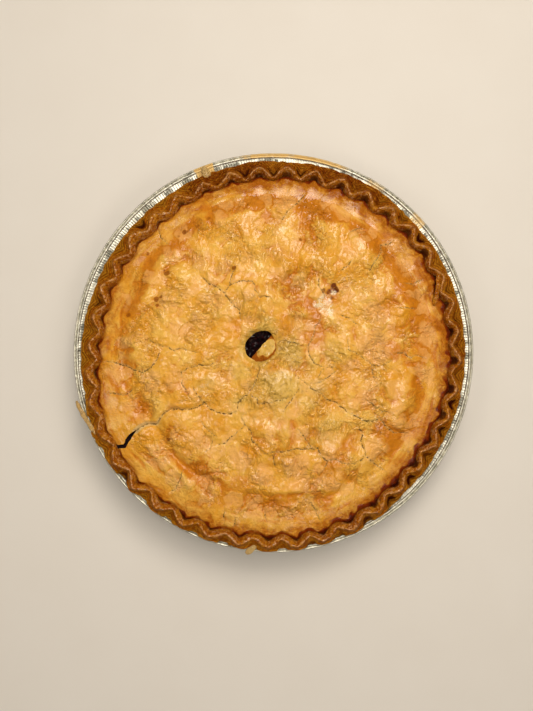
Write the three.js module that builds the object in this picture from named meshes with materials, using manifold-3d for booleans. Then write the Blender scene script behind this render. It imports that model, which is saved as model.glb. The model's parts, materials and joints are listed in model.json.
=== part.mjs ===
// A whole double-crust blueberry pie in its foil tin.
// Millimetres, +Z up, origin at the centre of the tin's flat base. Angles are degrees, anticlockwise from +X.
import * as THREE from "three";
import { mergeVertices } from "three/addons/utils/BufferGeometryUtils.js";
import Module from "manifold-3d";

const wasm = await Module();
wasm.setup();

// ---- driving dimensions ----

const CLEARANCE = 0.35; // air between two pieces that touch

const TIN = {
  rimRadius: 122, // outside of the rolled edge: a 9 5/8 inch (244 mm) tin
  mouthRadius: 107.5, // where the wall turns out into the flange
  baseRadius: 90,
  cornerRadius: 4, // between base and wall
  depth: 30, // top of the flange
  wall: 0.4,
  beadRadius: 1.35, // the rolled edge
  pleats: 56,
  pleatDepth: 0.6,
};

const CRIMP = {
  waves: 40,
  firstLobe: 5.5, // degrees, the outward lobe nearest +X
  meanRadius: 109, // middle of the wavy ridge
  offCentre: { by: 1.1, towards: -25 },
  halfWidth: 2.8,
  innerSwing: 1.7, // how far its inner edge waves either side
  outerSwing: 2.2,
  crest: 37.2,
  crease: 32.9, // bottom of the valley between ridge and lid
  ledge: 32.3, // the thin dough outside the ridge
  edgeRadius: 116.2, // where the dough ends on the flange
};

// The crimps were pinched by hand: how far the lobes near each angle run ahead of their even places.
const DRIFT = [
  { angle: 0, ahead: 0 },
  { angle: 35, ahead: 0 },
  { angle: 60, ahead: -0.8 },
  { angle: 96, ahead: -0.9 },
  { angle: 122, ahead: 0 },
  { angle: 142, ahead: 1 },
  { angle: 170, ahead: 2 },
  { angle: 204, ahead: 2 },
  { angle: 217, ahead: 3.2 },
  { angle: 240, ahead: 2.7 },
  { angle: 270, ahead: 1.7 },
  { angle: 285, ahead: 0.7 },
  { angle: 312, ahead: 0.5 },
  { angle: 335, ahead: 0 },
  { angle: 360, ahead: 0 },
];

// The dough slid towards one side of the tin, so there it lies over the rolled edge.
const SLIDE = { centre: 247, halfAngle: 68, fade: 26, ridge: 6.7, edge: 4.3 };

const LID = {
  marginWidth: 6.6, // from the ridge's middle to the lid's edge
  marginHeight: 33.9,
  marginSlope: 0.12,
  domeHeight: 42.4,
  domeDrop: 3, // from the dome's middle to its shoulder
  shoulderRadius: 96,
  shoulderWidth: 14,
  thickness: 3.6,
};

// One side of the dome has sunk, which leaves a wide low margin with a swell along it.
const SUNK = { centre: 218, halfAngle: 52, pullIn: 10, swell: 1.5, swellRadius: 93, swellWidth: 7 };

const UNDULATIONS = [
  { size: 27, height: 1.15, seed: 3 },
  { size: 14, height: 0.8, seed: 8 },
];

const VENT = { x: -8, y: 1.9, long: 9.6, short: 8.3, turn: 48, flapStart: 7, flapThickness: 2.2, flapTilt: 15 };

// The split in the lid's edge, from the sunk side's rim inwards: its middle line, and its width along it.
const SPLIT = {
  line: [
    { x: -97.1, y: -58.2, width: 1.2 },
    { x: -93.8, y: -58.3, width: 1.9 },
    { x: -90.5, y: -58.5, width: 2.4 },
    { x: -88.9, y: -56.0, width: 2.6 },
    { x: -87.4, y: -53.6, width: 2.7 },
    { x: -85.6, y: -51.2, width: 2.0 },
    { x: -83.5, y: -49.3, width: 1.2 },
    { x: -80.5, y: -47.6, width: 0.95 },
  ],
  floor: 31.1, // of its outer end, over the tin's flange
  openFrom: 4, // from this point inwards it goes through to the filling
  juiceBottom: 30.4,
  juiceTop: 32.6,
  notch: { angle: 211.2, halfAngle: 1.5, depth: 2 }, // where it breaks the ridge
};

const BERRIES = [
  { x: -11.9, y: 2.6, radius: 4.6, top: 39.9 },
  { x: -7.9, y: 8.0, radius: 4.2, top: 39.6 },
  { x: -13.5, y: -1.8, radius: 3.8, top: 39.3 },
  { x: -3.9, y: 7.2, radius: 3.4, top: 39.2 },
];

// Dough that ran over the tin's edge: where each strand starts and ends, and how thick it is.
const STRANDS = [
  { from: { angle: 206.5, radius: 118, z: 32.2 }, to: { angle: 194.6, radius: 123.4, z: 31.9 }, radius: 1.3 },
  { from: { angle: 265.0, radius: 117.6, z: 32.3 }, to: { angle: 262.2, radius: 123.3, z: 32.1 }, radius: 1.5 },
  { from: { angle: 110.6, radius: 113.6, z: 31.8 }, to: { angle: 111.0, radius: 120.9, z: 31.9 }, radius: 1.5 },
];

// ---- small helpers ----

const radians = (degrees) => (degrees * Math.PI) / 180;
const clamp01 = (t) => Math.min(1, Math.max(0, t));
const smooth = (t) => clamp01(t) ** 2 * (3 - 2 * clamp01(t));
const turnBetween = (a, b) => Math.abs(((((a - b) % 360) + 540) % 360) - 180);
const angleOf = (x, y) => (Math.atan2(y, x) * 180) / Math.PI;

// A repeatable number from 0 to 1 for each lattice corner.
function cornerValue(i, j, seed) {
  const wild = Math.sin(i * 127.1 + j * 311.7 + seed * 74.7) * 43758.5453;
  return wild - Math.floor(wild);
}

// Smooth unevenness from -1 to 1, with lumps about size apart.
function unevenness(x, y, size, seed) {
  const [u, v] = [x / size, y / size];
  const [i, j] = [Math.floor(u), Math.floor(v)];
  const [s, t] = [smooth(u - i), smooth(v - j)];
  const low = cornerValue(i, j, seed) * (1 - s) + cornerValue(i + 1, j, seed) * s;
  const high = cornerValue(i, j + 1, seed) * (1 - s) + cornerValue(i + 1, j + 1, seed) * s;
  return 2 * (low * (1 - t) + high * t) - 1;
}

// The same along a circle, so that it closes on itself.
const unevenAround = (angle, lumps, seed) =>
  unevenness(Math.cos(radians(angle)) * lumps, Math.sin(radians(angle)) * lumps, 1, seed);

function solid(geometry) {
  const bare = new THREE.BufferGeometry();
  bare.setAttribute("position", geometry.getAttribute("position").clone());
  if (geometry.index) bare.setIndex(geometry.index.clone());
  const merged = mergeVertices(bare, 1e-4);
  return new wasm.Manifold(
    new wasm.Mesh({
      numProp: 3,
      vertProperties: new Float32Array(merged.getAttribute("position").array),
      triVerts: new Uint32Array(merged.index.array),
    }),
  );
}

function geometryOf(body) {
  const made = body.getMesh();
  const positions = new Float32Array(made.numVert * 3);
  for (let i = 0; i < made.numVert; i++) {
    positions.set(made.vertProperties.subarray(i * made.numProp, i * made.numProp + 3), i * 3);
  }
  const geometry = new THREE.BufferGeometry();
  geometry.setAttribute("position", new THREE.BufferAttribute(positions, 3));
  geometry.setIndex(new THREE.BufferAttribute(new Uint32Array(made.triVerts), 1));
  geometry.computeVertexNormals();
  return geometry;
}

// A ring of points round the Z axis. shape(angle) gives { r, z }.
function ring(count, shape) {
  return Array.from({ length: count }, (_, i) => {
    const angle = (i / count) * 360;
    const { r, z } = shape(angle);
    return [r * Math.cos(radians(angle)), r * Math.sin(radians(angle)), z];
  });
}

// A closed skin over rings listed from the middle of the underside, out, up and back to the middle of the top,
// or with downwards true the other way round, from the top to the underside.
// Neighbouring rings may have different counts. A pole is a ring of one point.
function skin(rings, downwards = false) {
  const positions = rings.flat(2);
  const triangles = [];
  let start = 0;
  for (let k = 0; k + 1 < rings.length; k++) {
    const [n, m] = [rings[k].length, rings[k + 1].length];
    const inner = (i) => start + (i % n);
    const outer = (j) => start + n + (j % m);
    let [i, j] = [0, 0];
    while ((n > 1 && i < n) || (m > 1 && j < m)) {
      const stepInner = n > 1 && i < n && (m === 1 || j === m || (i + 1) / n <= (j + 1) / m);
      if (stepInner) {
        triangles.push(inner(i), inner(i + 1), outer(j));
        i += 1;
      } else {
        triangles.push(inner(i), outer(j + 1), outer(j));
        j += 1;
      }
    }
    start += n;
  }
  if (downwards) triangles.reverse();
  const geometry = new THREE.BufferGeometry();
  geometry.setAttribute("position", new THREE.BufferAttribute(new Float32Array(positions), 3));
  geometry.setIndex(triangles);
  return geometry;
}

const pole = (z) => [[0, 0, z]];

// A prism with its outline in the XY plane, from bottom to top.
function prism(shape, bottom, top, curveSegments = 12) {
  const geometry = new THREE.ExtrudeGeometry(shape, {
    depth: top - bottom,
    bevelEnabled: false,
    curveSegments,
  });
  return geometry.translate(0, 0, bottom);
}

// ---- foil tin ----

const PLEAT_POINTS = TIN.pleats * 2;
const WALL_TOP = TIN.depth - 1.6;

// A ring of the tin. Every second point stands in by a share of a pleat's depth.
const tinRing = (r, z, share = 0) =>
  ring(PLEAT_POINTS, (angle) => {
    const odd = Math.round((angle / 360) * PLEAT_POINTS) % 2;
    return { r: r - odd * TIN.pleatDepth * share, z };
  });

function tinGeometry() {
  const { mouthRadius, baseRadius, cornerRadius, wall } = TIN;
  return skin([
    pole(0),
    tinRing(baseRadius - cornerRadius / 2, 0),
    tinRing(baseRadius + cornerRadius / 2, cornerRadius, 0.6),
    tinRing(mouthRadius, WALL_TOP, 1),
    tinRing(mouthRadius - wall, WALL_TOP, 1),
    tinRing(baseRadius + cornerRadius / 2 - wall, cornerRadius + 0.1, 0.6),
    tinRing(baseRadius - cornerRadius / 2 - wall / 2, wall),
    pole(wall),
  ]);
}

// The flange, from the lip over the wall out to the rolled edge.
function flangeGeometry() {
  const { rimRadius, mouthRadius, depth, wall, beadRadius } = TIN;
  const lip = WALL_TOP + CLEARANCE;
  const bead = [-150, -75, 0, 75, 150].map((turn) =>
    tinRing(
      rimRadius - beadRadius + beadRadius * Math.cos(radians(turn)),
      depth - wall + beadRadius * Math.sin(radians(turn)),
    ),
  );
  const start = tinRing(mouthRadius + 0.2, lip);
  return skin([
    start,
    tinRing(mouthRadius + 1.7, depth - wall),
    ...bead,
    tinRing(mouthRadius + 1.6, depth),
    tinRing(mouthRadius - wall + 0.2, lip),
    start,
  ]);
}

// ---- top crust: lid and crimped rim ----

const slide = (angle) => smooth((SLIDE.halfAngle - turnBetween(angle, SLIDE.centre)) / SLIDE.fade);
const sunk = (angle) => smooth(1 - turnBetween(angle, SUNK.centre) / SUNK.halfAngle);
const ridgeMean = (angle) => {
  const { by, towards } = CRIMP.offCentre;
  return CRIMP.meanRadius + SLIDE.ridge * slide(angle) + by * Math.cos(radians(angle - towards));
};
const lidEdge = (angle) => ridgeMean(angle) - LID.marginWidth;
const doughEdge = (angle) =>
  CRIMP.edgeRadius + SLIDE.edge * slide(angle) + 0.5 * unevenAround(angle, 5, 21);

function lobeDrift(angle) {
  const turn = ((angle % 360) + 360) % 360;
  const next = Math.max(1, DRIFT.findIndex((place) => place.angle >= turn));
  const [a, b] = [DRIFT[next - 1], DRIFT[next]];
  return a.ahead + ((b.ahead - a.ahead) * (turn - a.angle)) / (b.angle - a.angle);
}

// 0 at the middle of an outward lobe, a half turn where the ridge swings in.
const lobePhase = (angle) => CRIMP.waves * radians(angle - CRIMP.firstLobe - lobeDrift(angle));

// Along its inner edge the ridge has cusps that point outwards and round bellies between them.
function innerEdge(angle) {
  const cusp = 1 - 2 * Math.abs(Math.sin(lobePhase(angle) / 2)) ** 1.15;
  return ridgeMean(angle) - CRIMP.halfWidth + CRIMP.innerSwing * cusp + 0.45 * unevenAround(angle, 12, 14);
}

// Along its outer edge it has round lobes and sharp pockets between them.
function outerEdge(angle) {
  const lobe = 2 * Math.abs(Math.cos(lobePhase(angle) / 2)) ** 1.1 - 1;
  return ridgeMean(angle) + CRIMP.halfWidth + CRIMP.outerSwing * lobe + 0.5 * unevenAround(angle, 14, 15);
}

function lidHeight(x, y) {
  const r = Math.hypot(x, y);
  const angle = angleOf(x, y);
  const low = LID.marginHeight + (lidEdge(angle) - r) * LID.marginSlope;
  const high = LID.domeHeight - LID.domeDrop * (r / LID.shoulderRadius) ** 2;
  const shoulder = LID.shoulderRadius - SUNK.pullIn * sunk(angle);
  const onDome = smooth((shoulder - r) / LID.shoulderWidth);
  const swell = SUNK.swell * sunk(angle) * Math.exp(-(((r - SUNK.swellRadius) / SUNK.swellWidth) ** 2));
  const lumps = UNDULATIONS.reduce((sum, u) => sum + u.height * unevenness(x, y, u.size, u.seed), 0);
  const dip = 0.8 * Math.exp(-(((x - VENT.x) ** 2 + (y - VENT.y) ** 2) / 16 ** 2));
  return low + (high - low) * onDome + swell * (1 - onDome) + lumps * (0.25 + 0.75 * onDome) - dip;
}

// A ring of the lid at a share of the way out to its edge, let down by drop.
const lidRing = (count, share, drop = 0) =>
  ring(count, (angle) => {
    const r = share * lidEdge(angle);
    return { r, z: lidHeight(r * Math.cos(radians(angle)), r * Math.sin(radians(angle))) - drop };
  });

// The lid's underside from its middle outwards. With gap above 0 it stands that far above the filling.
const underLid = (gap) => {
  const drop = LID.thickness - gap;
  return [
    pole(lidHeight(0, 0) - drop),
    lidRing(24, 0.19, drop),
    lidRing(36, 0.34, drop),
    lidRing(48, 0.49, drop),
    lidRing(56, 0.63, drop),
    lidRing(64, 0.74, drop),
    lidRing(64, 0.84, drop),
  ];
};

function topCrustSkin() {
  const { crest, crease, ledge } = CRIMP;
  const { notch } = SPLIT;
  const underRim = TIN.depth + CLEARANCE;
  const onFlange = TIN.rimRadius - TIN.beadRadius * 2 - 1; // beyond this the dough rises over the rolled edge
  const foot = (angle) => Math.min(outerEdge(angle) + 0.5, doughEdge(angle) - 1.2);
  const shoulder = (angle) => Math.min(outerEdge(angle) - 0.6, foot(angle) - 0.3);
  const ridge = (angle, share) => innerEdge(angle) * (1 - share) + shoulder(angle) * share;
  const broken = (angle) => notch.depth * smooth(1.3 - turnBetween(angle, notch.angle) / notch.halfAngle);
  const crestHeight = (angle) => crest + 0.5 * unevenAround(angle, 9, 5) - broken(angle);
  return skin([
    ...underLid(CLEARANCE),
    ring(64, () => ({ r: TIN.mouthRadius - 10, z: underRim })),
    ring(160, (angle) => ({ r: Math.min(doughEdge(angle) - 0.7, onFlange), z: underRim })),
    ring(160, (angle) => ({ r: doughEdge(angle), z: underRim + 0.8 + 0.3 * slide(angle) })),
    ring(160, (angle) => ({ r: doughEdge(angle) - 0.9, z: ledge + 0.2 * slide(angle) })),
    ring(320, (angle) => ({ r: foot(angle), z: ledge + 0.6 })),
    ring(320, (angle) => ({ r: shoulder(angle), z: crestHeight(angle) - 1.6 })),
    ring(320, (angle) => ({ r: ridge(angle, 0.5), z: crestHeight(angle) })),
    ring(320, (angle) => ({ r: ridge(angle, 0.12), z: crestHeight(angle) - 1.4 })),
    ring(320, (angle) => ({ r: innerEdge(angle) - 0.4, z: crease })),
    lidRing(160, 1),
    lidRing(160, 0.96),
    lidRing(160, 0.92),
    lidRing(120, 0.87),
    lidRing(120, 0.81),
    lidRing(96, 0.73),
    lidRing(80, 0.63),
    lidRing(64, 0.5),
    lidRing(48, 0.36),
    lidRing(24, 0.2),
    pole(lidHeight(0, 0)),
  ]);
}

// ---- bottom crust, from the base up the wall to the rim ----

function bottomCrustGeometry() {
  const { wall, pleatDepth, baseRadius, mouthRadius, cornerRadius, depth } = TIN;
  const inside = wall + CLEARANCE + pleatDepth; // from the tin's outer size to the dough
  return skin([
    pole(wall + CLEARANCE),
    ring(80, () => ({ r: baseRadius - cornerRadius / 2 - 1, z: wall + CLEARANCE })),
    ring(80, () => ({ r: baseRadius + cornerRadius / 2 - inside - 0.3, z: cornerRadius + 0.6 })),
    ring(80, () => ({ r: mouthRadius - inside - 0.3, z: depth - 1.4 })),
    ring(80, () => ({ r: mouthRadius - inside, z: depth })),
    ...fillingSide(CLEARANCE).reverse(),
  ]);
}

// ---- blueberry filling, under the lid from wall to wall ----

// The filling's underside and side, from the middle outwards. With grow above 0 it is the hollow that holds it.
function fillingSide(grow) {
  const dough = 4.6 - grow; // how thick the bottom crust is at the base
  const { baseRadius, mouthRadius, depth } = TIN;
  return [
    pole(dough),
    ring(64, () => ({ r: baseRadius - 5.5 + grow, z: dough })),
    ring(64, () => ({ r: baseRadius - 1.2 + grow, z: dough + 3.5 })),
    ring(64, () => ({ r: mouthRadius - 8.8 + grow, z: depth - 4 + grow })),
    ring(64, () => ({ r: mouthRadius - 10.4 + grow, z: depth - CLEARANCE + grow })),
  ];
}

const fillingSkin = () => skin([...underLid(0), ...fillingSide(0).reverse()], true);

// ---- vent, its flap, the split and the strands ----

function ventShape(grow) {
  const shape = new THREE.Shape();
  shape.absellipse(0, 0, VENT.long + grow, VENT.short + grow, 0, Math.PI * 2, false, 0);
  return shape;
}

const placeAtVent = (geometry) => geometry.rotateZ(radians(VENT.turn)).translate(VENT.x, VENT.y, 0);

const ventPrism = (grow) => solid(placeAtVent(prism(ventShape(grow), 34, 48, 14)));

// The tongue of lid that was cut for the vent and pressed down: half the oval, hinged on its outer side.
function flapGeometry(grow) {
  const hinge = VENT.short + 1.2;
  const spread = grow / VENT.long;
  const [start, end] = [radians(-VENT.flapStart) + spread, -Math.PI + radians(VENT.flapStart) - spread];
  const shape = new THREE.Shape();
  shape.absellipse(0, 0, VENT.long + grow, hinge + grow, start, end, true, 0);
  const plate = prism(shape, -VENT.flapThickness - grow, grow, 14);
  plate.translate(0, hinge, 0).rotateX(-radians(VENT.flapTilt)).translate(0, -hinge, 0);
  return placeAtVent(plate).translate(0, 0, lidHeight(VENT.x + 6, VENT.y - 6) - 0.3);
}

// The split's outline from a point of its line inwards, as wide as each point says less twice inset.
function splitPrism(first, inset, bottom, top) {
  const points = SPLIT.line.slice(first);
  const sides = points.map((p, i) => {
    const [a, b] = [points[Math.max(i - 1, 0)], points[Math.min(i + 1, points.length - 1)]];
    const along = new THREE.Vector2(b.x - a.x, b.y - a.y).normalize();
    const half = p.width / 2 - inset;
    return [
      new THREE.Vector2(p.x - along.y * half, p.y + along.x * half),
      new THREE.Vector2(p.x + along.y * half, p.y - along.x * half),
    ];
  });
  const outline = [...sides.map((s) => s[1]), ...sides.map((s) => s[0]).reverse()];
  return solid(prism(new THREE.Shape(outline), bottom, top));
}

// A strand of dough, thickest in the middle of its length, as rings of eight points along its path.
function strandGeometry({ from, to, radius }) {
  const at = (share) => {
    const angle = radians(from.angle + (to.angle - from.angle) * share);
    const r = from.radius + (to.radius - from.radius) * share;
    const z = from.z + (to.z - from.z) * share + 0.9 * Math.sin(Math.PI * share);
    return new THREE.Vector3(r * Math.cos(angle), r * Math.sin(angle), z);
  };
  const across = (share) => {
    const along = at(share + 0.01).sub(at(share - 0.01)).normalize();
    const side = new THREE.Vector3(0, 0, 1).cross(along).normalize();
    return [side, along.cross(side)];
  };
  const around = (share) => {
    const [side, up] = across(share);
    const thick = radius * Math.sqrt(Math.sin(Math.PI * share));
    return Array.from({ length: 8 }, (_, i) => {
      const turn = (i / 8) * Math.PI * 2;
      const point = at(share).addScaledVector(side, thick * Math.cos(turn));
      return point.addScaledVector(up, thick * 0.75 * Math.sin(turn)).toArray();
    });
  };
  return skin([[at(0).toArray()], ...[0.07, 0.25, 0.45, 0.65, 0.82, 0.95].map(around), [at(1).toArray()]]);
}

function berryGeometry({ x, y, radius, top }) {
  return new THREE.IcosahedronGeometry(radius, 1).translate(x, y, top - radius);
}

// ---- the pieces ----

const join = (bodies) => bodies.reduce((a, b) => a.add(b));

function topCrustBody() {
  const strands = join(STRANDS.map((s) => solid(strandGeometry(s))));
  return solid(topCrustSkin())
    .subtract(ventPrism(0))
    .subtract(splitPrism(0, 0, SPLIT.floor, 48))
    .subtract(splitPrism(SPLIT.openFrom, 0, TIN.depth, 48))
    .add(solid(flapGeometry(0)))
    .add(strands);
}

function fillingBody() {
  const inVent = join(BERRIES.map((b) => solid(berryGeometry(b)))).intersect(ventPrism(-CLEARANCE));
  return solid(fillingSkin())
    .add(inVent)
    .add(splitPrism(SPLIT.openFrom, CLEARANCE, SPLIT.juiceBottom, SPLIT.juiceTop))
    .subtract(solid(flapGeometry(CLEARANCE)));
}

const foil = new THREE.MeshStandardMaterial({ color: "#c9c6bd", roughness: 0.3, metalness: 1 });
const pastry = new THREE.MeshStandardMaterial({ color: "#d8963c", roughness: 0.42, metalness: 0 });
const blueberry = new THREE.MeshStandardMaterial({ color: "#1c0a16", roughness: 0.2, metalness: 0 });

const pie = new THREE.Group();
const pieces = [
  ["foil_tin", tinGeometry(), foil],
  ["foil_flange", flangeGeometry(), foil],
  ["bottom_crust", bottomCrustGeometry(), pastry],
  ["top_crust", geometryOf(topCrustBody()), pastry],
  ["filling", geometryOf(fillingBody()), blueberry],
];
for (const [name, geometry, material] of pieces) {
  const piece = new THREE.Mesh(geometry, material);
  piece.name = name;
  pie.add(piece);
}

export default pie;
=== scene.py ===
# Blueberry pie in its foil tin, on a pale floor, seen from almost straight above.
# Shapes are worked out in millimetres and written to the meshes in metres.
import json
import math

import bpy
import numpy as np
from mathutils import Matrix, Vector

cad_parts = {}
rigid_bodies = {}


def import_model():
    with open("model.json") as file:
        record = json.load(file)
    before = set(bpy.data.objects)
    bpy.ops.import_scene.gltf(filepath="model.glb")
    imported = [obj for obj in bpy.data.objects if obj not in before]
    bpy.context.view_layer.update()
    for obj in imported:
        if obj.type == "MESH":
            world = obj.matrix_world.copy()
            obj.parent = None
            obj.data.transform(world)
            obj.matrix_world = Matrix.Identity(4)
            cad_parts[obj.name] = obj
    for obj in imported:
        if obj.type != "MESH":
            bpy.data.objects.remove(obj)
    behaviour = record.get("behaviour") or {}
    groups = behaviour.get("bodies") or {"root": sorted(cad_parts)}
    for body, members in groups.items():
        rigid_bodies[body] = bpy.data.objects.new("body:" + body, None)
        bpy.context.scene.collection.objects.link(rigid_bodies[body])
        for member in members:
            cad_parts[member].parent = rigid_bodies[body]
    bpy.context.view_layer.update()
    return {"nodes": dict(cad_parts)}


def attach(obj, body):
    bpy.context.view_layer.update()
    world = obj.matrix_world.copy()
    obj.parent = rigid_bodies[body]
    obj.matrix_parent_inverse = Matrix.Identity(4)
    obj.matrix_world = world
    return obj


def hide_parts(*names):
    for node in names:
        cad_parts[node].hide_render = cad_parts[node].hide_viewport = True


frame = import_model()
mm = 0.001

photo = {
    "width": 533,
    "height": 711,
    "tinCentre": (273.45, 349.95),  # pixels
    "pixel": 0.61,  # mm at the flange
    "flange": 30.0,
    "distance": 450.0,
    "tilt": 3.0,  # degrees off straight down, the camera standing towards -Y
}
lean = math.radians(photo["tilt"])
eye = ((photo["width"] / 2 - photo["tinCentre"][0]) * photo["pixel"],
       (photo["tinCentre"][1] - photo["height"] / 2) * photo["pixel"] - photo["distance"] * math.sin(lean),
       photo["flange"] + photo["distance"] * math.cos(lean))


def onPlane(px, py, height):
    # where a pixel of the photo lies on a level plane
    focal = photo["distance"] / photo["pixel"]
    right, up = (px - photo["width"] / 2) / focal, (photo["height"] / 2 - py) / focal
    reach = (height - eye[2]) / (up * math.sin(lean) - math.cos(lean))
    return eye[0] + right * reach, eye[1] + (math.sin(lean) + up * math.cos(lean)) * reach


bpy.ops.object.camera_add(location=Vector(eye) * mm, rotation=(lean, 0, 0))
camera = bpy.context.object
camera.data.sensor_width = 36  # spans the photo's long side
camera.data.lens = 36 * photo["distance"] / (photo["pixel"] * photo["height"])
camera.data.clip_start = 0.01
bpy.context.scene.camera = camera
print("camera placed")

# Forms that the pie is worked out from, the same as the solids. A stretch of the pie's edge is given as its
# middle, half its width and the width of its fading ends, in degrees.
crimp = {
    "waves": 40,
    "firstLobe": 5.5,  # degrees
    "meanRadius": 109.0,
    "offCentre": 1.1,
    "offTowards": -25,
    "crest": 37.2,
    "crease": 32.9,
    "ledge": 32.3,
}
slideBy = {"stretch": (247, 68, 26), "ridge": 6.7}
lid = {
    "marginWidth": 6.6,
    "marginHeight": 33.9,
    "marginSlope": 0.12,
    "domeHeight": 42.4,
    "domeDrop": 3,
    "shoulderRadius": 96,
    "shoulderWidth": 14,
    "thickness": 3.6,
    "undulations": ((27, 1.15, 3), (14, 0.8, 8)),  # size, height, seed
    "grid": 296,
    "underRidge": 1.3,
    "photoLevel": 41.0,  # where places of the photo are read
}
sunkBy = {"stretch": (218, 52, 52), "pullIn": 10, "swell": 1.5, "swellRadius": 93, "swellWidth": 7}
vent = {"x": -8.0, "y": 1.9, "long": 9.6, "short": 8.3, "turn": 48}


def smooth(t):
    t = np.clip(t, 0, 1)
    return t * t * (3 - 2 * t)


def hump(gap, width):
    return np.exp(-((gap / width) ** 2))


def polar(x, y):
    return np.hypot(x, y), np.degrees(np.arctan2(y, x))


def planar(r, angle):
    return r * np.cos(np.radians(angle)), r * np.sin(np.radians(angle))


def turnBetween(a, b):
    return np.abs(np.mod(a - b + 540, 360) - 180)


def along(angle, centre, half, fade):
    # 1 along a stretch of the pie's edge, 0 away from it
    return smooth((half - turnBetween(angle, centre)) / fade)


def around(rows, angle, column=1):
    # reads a table of places round the pie, whose first number is the angle
    columns = list(zip(*rows))
    return np.interp(angle, columns[0], columns[column], period=360)


def cornerValue(i, j, seed):
    wild = np.sin(i * 127.1 + j * 311.7 + seed * 74.7) * 43758.5453
    return wild - np.floor(wild)


def unevenness(x, y, size, seed):
    u, v = x / size, y / size
    i, j = np.floor(u), np.floor(v)
    s, t = smooth(u - i), smooth(v - j)
    low = cornerValue(i, j, seed) * (1 - s) + cornerValue(i + 1, j, seed) * s
    high = cornerValue(i, j + 1, seed) * (1 - s) + cornerValue(i + 1, j + 1, seed) * s
    return 2 * (low * (1 - t) + high * t) - 1


def unevenAround(angle, lumps, seed):
    return unevenness(*planar(lumps, angle), 1, seed)


def ripple(x, y, size, seed):
    # gradient noise from about -1 to 1, smoother than unevenness
    u, v = x / size, y / size
    i, j = np.floor(u), np.floor(v)
    du, dv = u - i, v - j
    s, t = du ** 3 * (du * (du * 6 - 15) + 10), dv ** 3 * (dv * (dv * 6 - 15) + 10)

    def corner(a, b):
        turn = 2 * np.pi * cornerValue(i + a, j + b, seed)
        return np.cos(turn) * (du - a) + np.sin(turn) * (dv - b)

    low = corner(0, 0) * (1 - s) + corner(1, 0) * s
    high = corner(0, 1) * (1 - s) + corner(1, 1) * s
    return 1.5 * (low * (1 - t) + high * t)


def ripples(x, y, *rows):
    # several ripples on top of each other, each with its height, size and seed
    return sum(height * ripple(x, y, size, seed) for height, size, seed in rows)


def ridgeMean(angle):
    off = planar(crimp["offCentre"], angle - crimp["offTowards"])[0]
    return crimp["meanRadius"] + slideBy["ridge"] * along(angle, *slideBy["stretch"]) + off


def lidEdge(angle):
    return ridgeMean(angle) - lid["marginWidth"]


# The crimped ridge as baked, round the pie: degrees, its inner edge (mean radius, swing), its outer edge
# (the same), and where the dough ends
rimPlaces = (
    (5, 106.9, 1.4, 112.4, 1.9, 115.9), (14, 107.3, 2, 112.3, 2, 115.7), (32, 107.4, 1.9, 112.2, 2.4, 115.9),
    (41, 107.3, 1.9, 112.9, 2.1, 115.3), (50, 106, 2.4, 113, 1.8, 116.2), (59, 106, 1.9, 112.5, 2, 116.8),
    (68, 106.3, 2.1, 111.7, 3, 116.4), (77, 106.3, 1.8, 111.2, 2.7, 116.2),
    (86, 106.1, 1.4, 110.4, 3.5, 115.6), (95, 105.7, 1.9, 110.9, 3.5, 116.2),
    (104, 105.5, 1.6, 110.7, 2.6, 115.2), (113, 104.7, 1.2, 110.4, 2, 115.4),
    (122, 104.1, 1.9, 111.4, 2.1, 114.8), (132, 103.5, 1.7, 111.7, 2, 114.8),
    (151, 104.5, 2, 111.5, 2.4, 115.4), (160, 104.7, 2.2, 111.3, 2.2, 115.3),
    (170, 104.6, 1.8, 111.4, 2.3, 116.3), (178, 106, 1.6, 111.7, 2.5, 116.6),
    (187, 107.8, 1.8, 114, 2.4, 117.2), (196, 109.8, 1.3, 115.5, 1.9, 118.4),
    (205, 111.2, 1.1, 117.3, 1.9, 121), (216, 111.5, 1, 118, 2, 120.2), (224, 112.5, 1.9, 117.7, 2.4, 119.6),
    (233, 112, 1.6, 117.6, 2.8, 120.4), (242, 113.4, 1.8, 118.5, 1.8, 120.8),
    (251, 113.1, 1.6, 118.8, 1.6, 120.9), (259, 113.1, 1.8, 118.7, 1.4, 119.8),
    (268, 112.1, 2, 119, 1.4, 120.9), (276, 113.6, 2.2, 118.8, 1.2, 120.4),
    (285, 112.7, 1.8, 118.5, 1.2, 119.8), (294, 111.9, 2, 118, 1.6, 119.8),
    (303, 110.1, 1.5, 116.2, 1.9, 118.6), (312, 108.9, 1.1, 113.4, 2.1, 116.6),
    (321, 108.3, 1.7, 113, 2.2, 116.2), (330, 107.9, 1.6, 113, 2.2, 115.8),
    (347, 108, 1.5, 112.5, 2.1, 116.2),
)
# The crimps were pinched by hand: degrees, and how far the lobes there run ahead of their even places
lobeDrift = (
    (0, 0), (35, 0), (60, -0.8), (96, -0.9), (122, 0), (142, 1), (170, 2), (204, 2), (217, 3.2), (240, 2.7),
    (270, 1.7), (285, 0.7), (312, 0.5), (335, 0), (360, 0),
)
# How dark each pocket between two lobes has baked: degrees, darkness
pockets = (
    (1, 0.4), (10, 0.5), (19.5, 0.7), (28, 0.15), (37, 1), (46, 0.7), (55, 0.6), (64, 0.5), (72, 0.3),
    (81.5, 1), (90.5, 1), (99.5, 0.8), (108.5, 0.3), (118, 0.4), (127.5, 0.3), (137, 0.9), (146, 0.3),
    (155, 0.2), (165, 0.8), (174, 0.3), (183, 0.2), (192, 0.2), (201.5, 0.4), (211, 0.2), (220.5, 0.9),
    (229, 0.2), (238, 0.5), (246.5, 0.5), (254.5, 0.6), (264, 0.6), (272.5, 0.5), (281, 0.8), (289.5, 0.6),
    (299, 0.8), (307.8, 0.9), (316.5, 0.9), (325.5, 0.7), (334, 1), (343.5, 0.9), (352, 0.5),
)
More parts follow.
